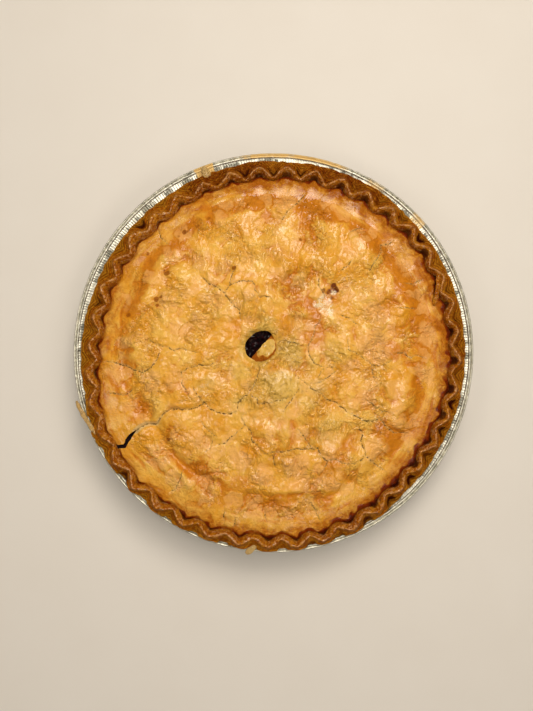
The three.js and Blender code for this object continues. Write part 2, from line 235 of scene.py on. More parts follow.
# Burnt sugar beside the ridge: degrees, how much of it, and how far it has run in over the lid in mm
sugar = (
    (0, 0.7, 2.4), (20, 0.8, 2.6), (45, 0.7, 2.4), (62, 0.7, 2), (85, 0.7, 1.8), (110, 0.6, 1.3),
    (130, 0.5, 0.8), (165, 0.6, 0.9), (190, 0.8, 1.4), (205, 0.3, 0.7), (225, 0.4, 0.9), (240, 0.75, 1.8),
    (260, 0.75, 2), (285, 0.85, 2.4), (305, 0.9, 2.8), (325, 0.9, 2.8), (345, 0.8, 2.6),
)
# How brown the margin of the lid has baked beside the ridge, and at the top also painted darker where the key
# lamp lights it most: degrees, strength
marginBakeAndShade = (
    (0, 0.75), (20, 0.95), (33, 0.6), (50, 0.85), (65, 1), (98, 1), (112, 0.6), (130, 0.45), (165, 0.4),
    (182, 0.1), (205, 0.25), (228, 0.15), (250, 0.55), (275, 0.4), (295, 0.65), (308, 0.85), (322, 0.5),
    (338, 0.55), (350, 0.9),
)


def rimValue(angle, column):
    return around(rimPlaces, angle, column)


def lobePhase(angle):
    # 0 at the middle of an outward lobe, pi where the ridge swings in
    ahead = np.interp(np.mod(angle, 360), *zip(*lobeDrift))
    turn = np.radians(angle - crimp["firstLobe"] - ahead)
    return crimp["waves"] * turn + 0.25 * unevenAround(angle, 18, 44)


def innerEdge(angle):
    # cusps point outwards, round bellies inwards
    cusp = 1 - 2 * np.abs(np.sin(lobePhase(angle) / 2)) ** 1.15
    return rimValue(angle, 1) + rimValue(angle, 2) * cusp + 0.45 * unevenAround(angle, 12, 14)


def outerEdge(angle):
    # round lobes outwards, sharp pockets between them
    lobe = 2 * np.abs(np.cos(lobePhase(angle) / 2)) ** 1.1 - 1
    return rimValue(angle, 3) + rimValue(angle, 4) * lobe + 0.5 * unevenAround(angle, 14, 15)


def lidHeight(x, y):
    r, angle = polar(x, y)
    sunk = along(angle, *sunkBy["stretch"])
    low = lid["marginHeight"] + (lidEdge(angle) - r) * lid["marginSlope"]
    high = lid["domeHeight"] - lid["domeDrop"] * (r / lid["shoulderRadius"]) ** 2
    onDome = smooth((lid["shoulderRadius"] - sunkBy["pullIn"] * sunk - r) / lid["shoulderWidth"])
    swell = sunkBy["swell"] * sunk * hump(r - sunkBy["swellRadius"], sunkBy["swellWidth"])
    lumps = sum(height * unevenness(x, y, size, seed) for size, height, seed in lid["undulations"])
    dip = 0.8 * hump(np.hypot(x - vent["x"], y - vent["y"]), 16)
    return low + (high - low) * onDome + swell * (1 - onDome) + lumps * (0.25 + 0.75 * onDome) - dip


def startPiece():
    if bpy.context.mode != "OBJECT":
        bpy.ops.object.mode_set(mode="OBJECT")
    bpy.ops.object.select_all(action="DESELECT")


def choose(piece):
    startPiece()
    piece.select_set(True)
    bpy.context.view_layer.objects.active = piece


def editAll(kind="VERT"):
    bpy.ops.object.mode_set(mode="EDIT")
    bpy.ops.mesh.select_mode(type=kind)
    bpy.ops.mesh.select_all(action="SELECT")


def namePiece(name):
    piece = bpy.context.object
    piece.name = piece.data.name = name
    return piece


def readPoints(piece, unit=mm):
    flat = np.empty(len(piece.data.vertices) * 3)
    piece.data.vertices.foreach_get("co", flat)
    return flat.reshape(-1, 3).T / unit


def writePoints(piece, x, y, z):
    piece.data.vertices.foreach_set("co", (np.stack([x, y, z], axis=1) * mm).ravel())
    piece.data.update()


def setTone(piece, name, *channels):
    # four values a point, kept as a colour
    filled = np.zeros((len(piece.data.vertices), 4))
    for k, channel in enumerate(channels):
        filled[:, k] = channel
    piece.data.attributes.new(name, "FLOAT_COLOR", "POINT").data.foreach_set("color", filled.ravel())


def setValue(piece, name, value):
    filled = np.zeros(len(piece.data.vertices)) + value
    piece.data.attributes.new(name, "FLOAT", "POINT").data.foreach_set("value", filled)


def applyModifiers(piece):
    choose(piece)
    for modifier in list(piece.modifiers):
        bpy.ops.object.modifier_apply(modifier=modifier.name)


def makeOuter(piece):
    # faces outwards; the piece is left chosen
    choose(piece)
    editAll()
    bpy.ops.mesh.normals_make_consistent(inside=False)
    bpy.ops.object.mode_set(mode="OBJECT")


def growRing(radiusBefore, radius, rise):
    # carries the selected ring of edges on to the next radius and height, both in metres
    bpy.ops.mesh.extrude_edges_move(TRANSFORM_OT_translate={"value": (0, 0, rise)})
    share = radius / radiusBefore
    bpy.ops.transform.resize(value=(share, share, 1), center_override=(0, 0, 0))


def closeRing():
    bpy.ops.mesh.extrude_edges_move()
    bpy.ops.mesh.merge(type="CENTER")
    bpy.ops.object.mode_set(mode="OBJECT")


def makeRings(name, count, rings):
    # a closed band of rings; until it is shaped, each ring's height in mm is its number
    startPiece()
    bpy.ops.mesh.primitive_circle_add(vertices=count, radius=0.11, fill_type="NOTHING", location=(0, 0, 0))
    piece = namePiece(name)
    editAll("EDGE")
    for _ in range(rings - 1):
        growRing(1, 1, mm)
    bpy.ops.mesh.select_all(action="SELECT")
    bpy.ops.mesh.region_to_loop()
    bpy.ops.mesh.bridge_edge_loops()
    bpy.ops.object.mode_set(mode="OBJECT")
    return piece


def inVent(x, y):
    # a place along the vent's long and short axes
    turn, dx, dy = math.radians(vent["turn"]), x - vent["x"], y - vent["y"]
    return dx * math.cos(turn) + dy * math.sin(turn), dy * math.cos(turn) - dx * math.sin(turn)


def outOfVent(u, v):
    turn = math.radians(vent["turn"])
    return (vent["x"] + u * math.cos(turn) - v * math.sin(turn),
            vent["y"] + u * math.sin(turn) + v * math.cos(turn))


# Cracks of the lid: strength, then photo pixels along the line
cracks = (
    (1.3, 202, 277, 210, 284, 218, 287.5, 224, 293, 229.5, 300.5, 239, 310, 241, 320),
    (0.85, 224, 293, 229.5, 286, 232, 276, 235, 268),
    (0.85, 229.5, 285, 240, 281, 253, 281.6, 255.6, 290, 259.5, 297, 270, 297),
    (0.85, 156, 226, 159, 235, 167, 242), (1.1, 306, 190, 298, 201, 288, 209.5, 281.5, 220),
    (0.85, 360, 227, 351, 231, 345, 235),
    (1.1, 398, 235.5, 391, 242, 382, 244, 382, 251, 375, 262, 369, 271),
    (0.85, 354, 259, 347, 266, 340, 271), (0.85, 318.5, 277, 318.5, 286, 324, 294.5),
    (0.85, 424, 278, 414.5, 283, 406, 282), (0.85, 416, 308, 406, 308, 399, 307.6),
    (0.85, 340, 315, 350, 319, 358, 325),
    (0.85, 321, 319, 315, 327, 314, 334, 308, 347, 309, 355, 315, 364, 324, 367, 336, 367, 339, 369.5),
    (0.85, 285, 341, 295, 343, 303, 346), (0.85, 325, 367, 318, 376.5),
    (0.85, 339, 369.5, 331, 375, 321, 382, 314, 383.5),
    (1.2, 105, 361, 116, 363, 126, 366, 133, 370, 143, 372, 151, 367, 158, 358, 160, 353),
    (0.85, 150, 340, 157, 345, 168, 347, 174, 351, 181, 348, 189, 351, 196, 352),
    (0.85, 106.5, 393, 116, 394, 122, 396, 132, 389),
    (0.85, 217, 361, 209, 366, 199, 365, 189, 368, 182, 372, 182, 383.5, 188, 392, 189, 396),
    (1.5, 193.5, 388, 198, 396, 205, 403, 210, 409, 219, 413, 231, 414, 237, 410, 238, 403, 244, 396,
     251, 395),
    (0.85, 259, 368, 258, 376.5, 254, 385, 249, 393),
    (1.2, 251, 395, 257, 399, 258, 404.5, 269, 402, 273, 402, 283, 399, 289, 397),
    (0.85, 299, 389, 293, 397.5, 286, 407, 283, 412), (0.85, 200.5, 421, 207.5, 430, 216, 437),
    (0.85, 244, 426, 234, 435, 224, 444, 217, 445), (0.85, 212, 441, 210, 448, 206, 452),
    (0.85, 240.5, 416, 244, 423, 251, 431, 252, 440, 259, 448, 264, 452),
    (1.2, 182, 472, 179, 480, 174, 490, 168, 494),
    (1.3, 297, 376.5, 306, 383.5, 313, 389, 321, 393, 327, 400, 335, 402, 344, 409, 349, 413, 356, 416,
     363, 420, 372, 421, 381.5, 419, 386, 426, 394, 433, 405, 433),
    (0.85, 348, 340, 348, 350, 356, 353, 366, 359, 372, 365, 381.5, 366, 388.5, 362, 394, 359),
    (0.85, 395.5, 353, 404, 353, 411, 357.5, 418, 355, 426, 357.5), (0.85, 372, 367, 374, 378),
    (0.85, 367, 400, 373, 405, 381.5, 411, 388.5, 412),
    (1.2, 355, 424, 363, 433, 362, 442, 365, 451, 366, 456.5, 376, 465, 386, 472),
    (1.2, 265, 454, 273, 452, 283, 452, 293, 449, 306, 449, 317, 448, 321, 455, 327, 461, 335, 459,
     344, 463.5, 355, 464, 363, 459),
    (0.85, 299, 430, 307, 441, 311, 447), (0.85, 311, 503, 315.5, 511, 320, 521), (0.85, 328, 462, 324, 469),
    (0.85, 273, 455, 275, 466), (0.85, 224, 513, 223, 524), (0.85, 235, 520, 234, 528),
    (0.85, 265, 514, 266, 522),
)
# The torn stretch that leads on from the split
tear = (134, 431.5, 138, 428, 144, 424.5, 150, 424, 156, 424, 159, 419, 161, 416.5, 164, 413, 168, 410,
        175, 408.5, 182, 409.5, 188, 409.5, 192, 408.5, 198, 406.5, 204, 403.5)
# Larger folds: height in mm (below 0 for a valley), width in mm, then pixels along the line
folds = (
    (-2.3, 2.8, 160, 424, 157, 431, 163, 442, 168, 452, 177, 461, 186, 469, 196, 475, 210, 482, 226, 487),
    (0.8, 1.5, 151, 432, 155, 444, 162, 456, 171, 466, 181, 474, 193, 481),
    (0.7, 1.7, 144, 436, 149, 449, 157, 462, 167, 473, 178, 481),
    (1.5, 4.2, 170, 430, 175, 444, 184, 455, 196, 462), (-1.3, 6, 128, 398, 137, 408, 142, 421),
    (-0.5, 1.6, 120, 352, 122, 372, 125, 394), (0.8, 4, 232, 432, 252, 428, 272, 433, 292, 429),
    (-0.9, 2.6, 236, 446, 262, 443, 290, 441, 316, 436), (-0.7, 2.4, 240, 462, 262, 468, 290, 470, 316, 470),
    (-1, 3.6, 262, 478, 290, 481, 322, 478, 346, 468), (0.7, 2.2, 250, 490, 284, 493, 322, 490, 352, 478),
    (-0.45, 1.3, 246, 500, 284, 504, 326, 499, 360, 482),
    (0.35, 1.4, 248, 507, 284, 511, 328, 506, 364, 488), (0.9, 5, 372, 300, 368, 330, 372, 352),
    (-1.2, 4, 388, 300, 391, 326, 389, 352), (0.7, 3.4, 404, 300, 407, 326, 405, 352),
    (-0.8, 3.2, 400, 368, 396, 392, 384, 416), (-0.9, 4, 344, 436, 356, 444, 352, 458),
    (-0.5, 2.2, 300, 330, 296, 344, 300, 360), (-0.9, 1.4, 286, 348, 281, 356, 274, 364, 266, 372),
    (-0.7, 3, 330, 288, 324, 300, 320, 314), (-0.8, 2.4, 284, 318, 300, 322, 318, 318),
    (0.7, 2.6, 212, 318, 226, 306, 240, 308), (-0.7, 1.8, 206, 330, 222, 322, 240, 325),
    (0.6, 2.6, 206, 346, 224, 342, 240, 348), (-0.7, 3, 216, 384, 236, 380, 252, 372),
    (0.8, 4.2, 262, 300, 282, 296, 300, 304), (-0.6, 2.6, 262, 262, 282, 256, 300, 262),
)
# Softer domes and hollows: pixel, height in mm, radius in mm
mounds = (
    (246, 376, 1.3, 6), (225, 384, 0.9, 9), (285, 262, 1, 10), (310, 262, 0.8, 7), (352, 262, 0.7, 7),
    (300, 330, -0.9, 7), (230, 285, 0.6, 8), (245, 296, 0.7, 7), (180, 290, 0.6, 9), (168, 335, 0.8, 9),
    (146, 355, 0.8, 8), (178, 372, 0.8, 6), (198, 384, -0.7, 6), (180, 428, 1.1, 9), (215, 428, 0.7, 8),
    (252, 460, 0.8, 8), (285, 460, 0.7, 9), (330, 425, 0.7, 8), (310, 412, 1.1, 7), (285, 386, 0.6, 9),
    (376, 340, 0.6, 9), (378, 400, 0.5, 8), (330, 240, 0.7, 9), (262, 236, 0.5, 10), (140, 300, 0.7, 8),
    (350, 300, 0.6, 9), (338, 352, 0.6, 8), (246, 252, 0.6, 7),
)


def lineDistance(x, y, lines, reach):
    # signed distance in mm to the nearest of several lines, how far along it (0 to 1), and which it is
    near = np.full(x.shape, reach * 3.0)
    side, share, which = np.zeros(x.shape), np.zeros(x.shape), np.full(x.shape, -1)
    for index, line in enumerate(lines):
        points = [onPlane(px, py, lid["photoLevel"]) for px, py in zip(line[::2], line[1::2])]
        lengths = [math.dist(a, b) for a, b in zip(points, points[1:])]
        walked = 0.0
        for (ax, ay), (bx, by), length in zip(points, points[1:], lengths):
            picked = np.nonzero((x > min(ax, bx) - reach) & (x < max(ax, bx) + reach)
                                & (y > min(ay, by) - reach) & (y < max(ay, by) + reach))[0]
            px, py = x[picked] - ax, y[picked] - ay
            t = np.clip((px * (bx - ax) + py * (by - ay)) / length ** 2, 0, 1)
            gap = np.hypot(px - t * (bx - ax), py - t * (by - ay))
            better = gap < near[picked]
            chosen = picked[better]
            cross = (bx - ax) * py[better] - (by - ay) * px[better]
            near[chosen] = gap[better]
            side[chosen] = np.where(cross < 0, -1, 1) * gap[better]
            share[chosen] = (walked + t[better] * length) / sum(lengths)
            which[chosen] = index
            walked += length
    return near, side, share, which


def foldRelief(x, y):
    raised = np.zeros(x.shape)
    for height, width, *line in folds:
        near, _, share, _ = lineDistance(x, y, [line], width * 3.2)
        raised += height * smooth(share / 0.22) * smooth((1 - share) / 0.22) * hump(near, width)
    for px, py, height, radius in mounds:
        mx, my = onPlane(px, py, lid["photoLevel"])
        raised += height * hump(np.hypot(x - mx, (y - my) * 1.1) + 1.5 * ripple(x, y, 6, px), radius)
    return raised


blisters = {
    "size": 12.5,  # mm from puff to puff
    "height": 2.8,
    "smallSize": 5.6,
    "smallHeight": 1.1,
    "plateSize": 9.5,  # flat flakes of skin, each with its own tilt
    "plateTilt": 0.085,
    "creaseDepth": 0.22,
    "wrinkleHeight": 0.42,
    "fineSize": 2.3,
    "fineHeight": 0.3,
    "marginWrinkle": 0.28,
}


def pushed(x, y, seed, wide, size, narrow, smallSize):
    # places moved a little by two noises, so that what is drawn on them wanders
    return [at + ripples(x, y, (wide, size, start), (narrow, smallSize, start + 2))
            for at, start in ((x, seed), (y, seed + 16))]


def flakes(x, y, size, seed):
    # irregular cells: distance to the nearest edge, three random values and the place within the cell, in mm
    u, v = x / size, y / size
    i, j = np.floor(u), np.floor(v)
    first, second = np.full(x.shape, 9.0), np.full(x.shape, 9.0)
    kept = [np.zeros(x.shape) for _ in range(5)]
    for a in (-1, 0, 1):
        for b in (-1, 0, 1):
            cu = i + a + 0.1 + 0.8 * cornerValue(i + a, j + b, seed)
            cv = j + b + 0.1 + 0.8 * cornerValue(i + a, j + b, seed + 1)
            gap = np.hypot(u - cu, v - cv)
            closer = gap < first
            second = np.where(closer, first, np.minimum(second, gap))
            first = np.where(closer, gap, first)
            fresh = [cornerValue(i + a, j + b, seed + 2 + k) for k in range(3)]
            fresh += [(u - cu) * size, (v - cv) * size]
            kept = [np.where(closer, new, old) for new, old in zip(fresh, kept)]
    return [(second - first) * size] + kept


def skinFlakes(x, y):
    return flakes(*pushed(x, y, 131, 3.6, 14, 1.9, 4.5), blisters["plateSize"], 301)


def marginRings(x, y):
    # long wrinkles that follow the rim
    r, angle = polar(x, y)
    return ripple(r + 2.4 * ripple(x, y, 15, 91), angle * 0.24, 2.1, 93)


def busyAt(x, y):
    # 1 where the skin is wrinkled, 0 where it lies smooth
    return smooth(0.45 + 1.6 * ripple(x, y, 17, 81))


def blisterRelief(x, y):
    r, angle = polar(x, y)
    bentX, bentY = pushed(x, y, 31, 4.5, 17, 1.6, 6)
    puff = np.sqrt(ripple(bentX, bentY, blisters["size"], 5) ** 2 + 0.002)
    small = np.sqrt(ripple(bentX * 0.8 + bentY * 0.3, bentY * 1.1, blisters["smallSize"], 9) ** 2 + 0.004)
    # wrinkles that run round the puffs, bunched where the skin has sunk
    tight = 3.2 * ripple(bentX, bentY, 8.5, 27) + 0.7 * ripple(x, y, 3.4, 29)
    wrinkles = 1 - 2 * np.abs(np.sin(np.pi * tight))
    busy = busyAt(x, y)
    swirlX, swirlY = x + 2.4 * ripple(x, y, 6, 61), y + 2.4 * ripple(x, y, 6, 63)
    fine = ripple(swirlX * 0.75 - swirlY * 0.35, swirlX * 0.4 + swirlY * 0.8, blisters["fineSize"], 71)
    edge, value, tiltX, tiltY, dx, dy = skinFlakes(x, y)
    plate = blisters["plateTilt"] * ((tiltX - 0.5) * dx + (tiltY - 0.5) * dy) * 2 + 0.5 * (value - 0.5)
    plate = plate * smooth(edge / 1.6) - blisters["creaseDepth"] * hump(edge, 0.55)
    inside = smooth((lidEdge(angle) - 5 - r) / 10)
    rings = marginRings(x, y) * (0.6 + 0.6 * smooth(-y / 60 + 0.3 * x / 100))
    raised = inside * (blisters["height"] * (puff - 0.3) * (0.5 + 0.6 * busy)
                       + blisters["smallHeight"] * (small - 0.3) * (0.3 + busy)
                       + blisters["wrinkleHeight"] * wrinkles * (0.15 + 0.85 * busy)
                       + blisters["fineHeight"] * (1 - 2.4 * np.abs(fine)) * (0.35 + 0.75 * busy))
    return raised + (0.35 + 0.65 * inside) * plate + (1 - 0.75 * inside) * blisters["marginWrinkle"] * rings


def lidTop(x, y):
    r, angle = polar(x, y)
    height = lidHeight(x, y) + foldRelief(x, y) + blisterRelief(x, y)
    near, side, _, _ = lineDistance(x, y, [line[1:] for line in cracks], 6)
    height += 0.22 * hump(near, 2.2) * np.where(side > 0, 1.0, -0.3) - 0.45 * hump(near, 0.55)
    # the torn stretch: its two sides sit at different heights, with a trough between
    near, side, share, _ = lineDistance(x, y, [tear], 8)
    trough = 1.5 * smooth((1 - share) / 0.35) + 0.6 * smooth(1 - share)
    height += np.where(side > 0, 0.6, -0.5) * hump(near, 4.0) * (1 - 0.7 * share)
    height -= trough * hump(near, 1.5 - 0.6 * share)
    # rounded lip of the vent
    u, v = inVent(x, y)
    outside = (np.hypot(u / vent["long"], v / vent["short"]) - 1) * (vent["long"] + vent["short"]) / 2
    height += 0.5 * hump(outside - 3, 1.8) - 1.1 * hump(np.maximum(outside, 0), 1.1)
    # down into the crease and under the ridge
    offset = r - innerEdge(angle)
    deep = 0.4 + 0.6 * around(sugar, angle)
    height -= deep * (0.9 * smooth((offset + 2.4) / 2.0) + 1.9 * smooth((offset + 0.6) / 1.2))
    return height - 0.7 * smooth((r - rimValue(angle, 1)) / 1.4)


def makeLid():
    startPiece()
    bpy.ops.mesh.primitive_grid_add(x_subdivisions=lid["grid"], y_subdivisions=lid["grid"], size=2)
    piece = namePiece("pie_lid")
    u, v, _ = readPoints(piece, 1)
    wide = np.abs(u) > np.abs(v)
    reach = np.where(wide, u, v)
    safe = np.where(np.abs(reach) < 1e-9, 1.0, reach)
    turn = np.where(wide, np.pi / 4 * v / safe, np.pi / 2 - np.pi / 4 * u / safe)
    share, angle = np.abs(reach), np.degrees(np.arctan2(reach * np.sin(turn), reach * np.cos(turn)))
    # the outermost rings follow the inner edge of the ridge, under which they end
    outer = rimValue(angle, 1) + (innerEdge(angle) - rimValue(angle, 1)) * smooth((share - 0.9) / 0.08)
    x, y = planar(share * (outer + lid["underRidge"]), angle)
    writePoints(piece, x, y, lidTop(x, y))
    # close it underneath with a few wide rings
    editAll("EDGE")
    bpy.ops.mesh.region_to_loop()
    ringShares = (1.0, 0.985, 0.885, 0.78, 0.6, 0.4, 0.2)
    for before, after in zip(ringShares, ringShares[1:]):
        growRing(before, after, 0)
    closeRing()
    x, y, z = readPoints(piece)
    under = np.where(np.hypot(x, y) > 97.5, 30.7, lidHeight(x, y) - lid["thickness"])
    writePoints(piece, x, y, np.where(np.arange(len(x)) < len(u), z, under))
    makeOuter(piece)
    return piece


def cutBy(piece, cutter):
    makeOuter(cutter)
    cut = piece.modifiers.new("cut", "BOOLEAN")
    cut.operation, cut.solver, cut.object = "DIFFERENCE", "MANIFOLD", cutter
    applyModifiers(piece)
    bpy.data.objects.remove(cutter)


def ventCutter():
    startPiece()
    bpy.ops.mesh.primitive_cylinder_add(vertices=120, radius=1, depth=20 * mm, location=(0, 0, 42 * mm))
    bpy.ops.object.transform_apply(location=True)
    cutter = namePiece("vent_cutter")
    x, y, z = readPoints(cutter)
    turn = np.arctan2(y, x)
    wobble = 1 + 0.025 * np.sin(3 * turn + 1) + 0.015 * np.sin(7 * turn)
    u, v = vent["long"] * np.cos(turn) * wobble, vent["short"] * np.sin(turn) * wobble
    writePoints(cutter, *outOfVent(u, v), z)
    return cutter


# The split that shows black: pixels along its middle, and its width in pixels at each
split = {
    "line": (111.5, 446.3, 114, 446.2, 117.5, 446.6, 121, 446.8, 124, 446.2, 126, 443.5, 127, 440.5,
             129, 438, 131, 435.5, 133, 433, 136, 430.5),
    "width": (1.4, 2.2, 3.2, 3.9, 4.4, 3.4, 4.4, 4.6, 3.6, 2.6, 0.8),
    "level": 35.0,
    "bottom": 30.7,
    "juiceTop": 33.0,
}


def splitPrism(name, wider, bottom, top):
    pixels = zip(split["line"][::2], split["line"][1::2])
    middle = [Vector(onPlane(px, py, split["level"])) for px, py in pixels]
    left, right = [], []
    for i, point in enumerate(middle):
        ahead = (middle[min(i + 1, len(middle) - 1)] - middle[max(i - 1, 0)]).normalized()
        across = Vector((-ahead.y, ahead.x))
        half, jag = split["width"][i] * 0.3 + wider, 0.125 * math.sin(i * 2.6)
        left.append(point + across * (half + jag))
        right.append(point - across * (half - jag))
    outline = np.array(left + right[::-1])
    startPiece()
    bpy.ops.mesh.primitive_circle_add(vertices=len(outline), radius=1, fill_type="NGON")
    piece = namePiece(name)
    writePoints(piece, outline[:, 0], outline[:, 1], np.full(len(outline), bottom))
    editAll()
    bpy.ops.mesh.extrude_region_move(TRANSFORM_OT_translate={"value": (0, 0, (top - bottom) * mm)})
    bpy.ops.object.mode_set(mode="OBJECT")
    return piece


# Named places of the lid: pixel, radius in mm, strength
bakedPlaces = {
    "moist": (  # pale and a little green over wet filling
        (262, 347, 13, 0.9), (286, 352, 10, 0.9), (280, 392, 13, 0.9), (262, 388, 10, 0.6),
        (334, 352, 10, 0.5), (328, 430, 10, 0.5), (306, 400, 8, 0.5), (240, 400, 8, 0.5), (300, 320, 9, 0.4),
        (252, 415, 9, 0.4), (312, 364, 8, 0.5), (316, 388, 8, 0.5), (206, 386, 7, 0.5), (300, 282, 6, 0.4),
        (200, 255, 12, 0.25), (240, 372, 7, 0.6), (244, 350, 3.2, 1), (246, 342, 3.2, 1), (251, 334, 3, 0.9),
        (262, 327, 4, 0.8), (273, 331, 3.4, 0.8), (268, 322, 5, 0.6),
    ),
    "brown": (  # deeper orange
        (290, 322, 8, 0.7), (330, 296, 6, 0.7), (345, 300, 5, 0.5), (393, 350, 7, 0.8), (398, 330, 6, 0.7),
        (386, 432, 9, 0.8), (335, 462, 9, 0.7), (388, 300, 8, 0.6), (385, 240, 12, 0.8), (372, 232, 9, 0.7),
        (140, 410, 8, 0.9), (136, 420, 6, 0.7), (130, 330, 8, 0.5), (128, 300, 7, 0.5), (150, 268, 8, 0.4),
        (280, 200, 12, 0.5), (330, 205, 10, 0.5), (250, 196, 10, 0.5), (195, 222, 7, 0.7),
        (310, 245, 7, 0.5), (300, 300, 7, 0.4), (188, 452, 6, 0.5), (205, 478, 10, 0.6), (240, 487, 10, 0.6),
        (300, 486, 12, 0.5), (210, 500, 9, 0.5), (175, 408, 6, 0.5), (370, 372, 6, 0.5), (268, 408, 5, 0.5),
        (262, 442, 5, 0.5), (224, 432, 5, 0.4), (348, 446, 7, 0.7), (224, 376, 6, 0.5), (300, 240, 7, 0.4),
        (340, 262, 5, 0.4),
    ),
    "pinkSheen": (  # painted pinkish sheen, where flat flakes of glaze catch the light
        (374, 312, 8, 0.9), (376, 346, 11, 1), (431, 334, 8, 0.9), (432, 376, 8, 0.9), (352, 366, 6, 0.8),
        (366, 398, 7, 0.8), (298, 466, 8, 0.9), (330, 440, 7, 0.8), (412, 262, 8, 0.9), (330, 196, 8, 0.9),
        (290, 190, 8, 1), (262, 184, 7, 1), (350, 206, 7, 0.9), (395, 240, 6, 0.9), (430, 300, 7, 0.8),
        (310, 326, 6, 0.5), (240, 460, 8, 0.8), (262, 476, 8, 0.8), (220, 300, 8, 0.6), (180, 330, 9, 0.6),
        (206, 300, 7, 0.5), (166, 300, 8, 0.6), (176, 380, 8, 0.7), (150, 384, 9, 0.7), (120, 300, 7, 0.6),
        (256, 420, 7, 0.6), (200, 440, 8, 0.7), (180, 432, 7, 0.7), (330, 480, 9, 0.7), (376, 450, 8, 0.8),
        (400, 420, 7, 0.7), (280, 250, 9, 0.5), (236, 230, 9, 0.5), (350, 250, 8, 0.6), (215, 190, 7, 0.7),
        (160, 460, 7, 0.8), (250, 510, 9, 0.7), (310, 508, 9, 0.6), (116, 372, 8, 0.8), (290, 300, 5, 0.5),
    ),
    "scorch": (
        (183.7, 231, 1.6, 1), (187, 230, 0.9, 0.8), (178, 235, 1.2, 0.6), (166.7, 273, 1.9, 1),
        (164, 270, 0.8, 0.8), (156, 299, 1.8, 0.9), (161, 297, 1.2, 0.8), (157, 305, 1.2, 0.8),
        (152, 308, 0.9, 0.6), (127.5, 314, 1.7, 0.8), (146, 252, 1.3, 0.9), (234, 268, 1.6, 1),
        (216, 286, 0.8, 0.8), (163, 438, 0.8, 0.7), (167.5, 439.5, 1.3, 1), (266, 284, 1, 0.5),
        (300.5, 239, 1.2, 0.9), (315, 247, 0.7, 0.6), (208, 217, 1.6, 0.6), (215, 209, 2.2, 0.5),
        (248, 203, 0.8, 0.6), (198, 225, 2, 0.5), (252, 337, 1.2, 0.5),
    ),
    "stain": (
        (334, 286, 2.2, 1.0), (336, 290, 2.0, 1.0), (330, 292, 2.6, 0.8), (324, 291, 1.8, 0.7),
        (332, 298, 1.4, 0.7),
    ),
    "glint": ((325, 302, 4.4, 1.0), (318, 304, 2.8, 0.8), (329, 312, 2.6, 0.8), (333, 293, 1.8, 0.8)),
}


def spots(x, y, kind):
    total = np.zeros(x.shape)
    for px, py, radius, strength in bakedPlaces[kind]:
        sx, sy = onPlane(px, py, lid["photoLevel"])
        gap = np.hypot(x - sx, y - sy) + 0.35 * radius * ripple(x, y, radius * 0.9 + 0.6, px)
        total = np.maximum(total, strength * smooth(1.35 - gap / radius * 0.9))
    return total


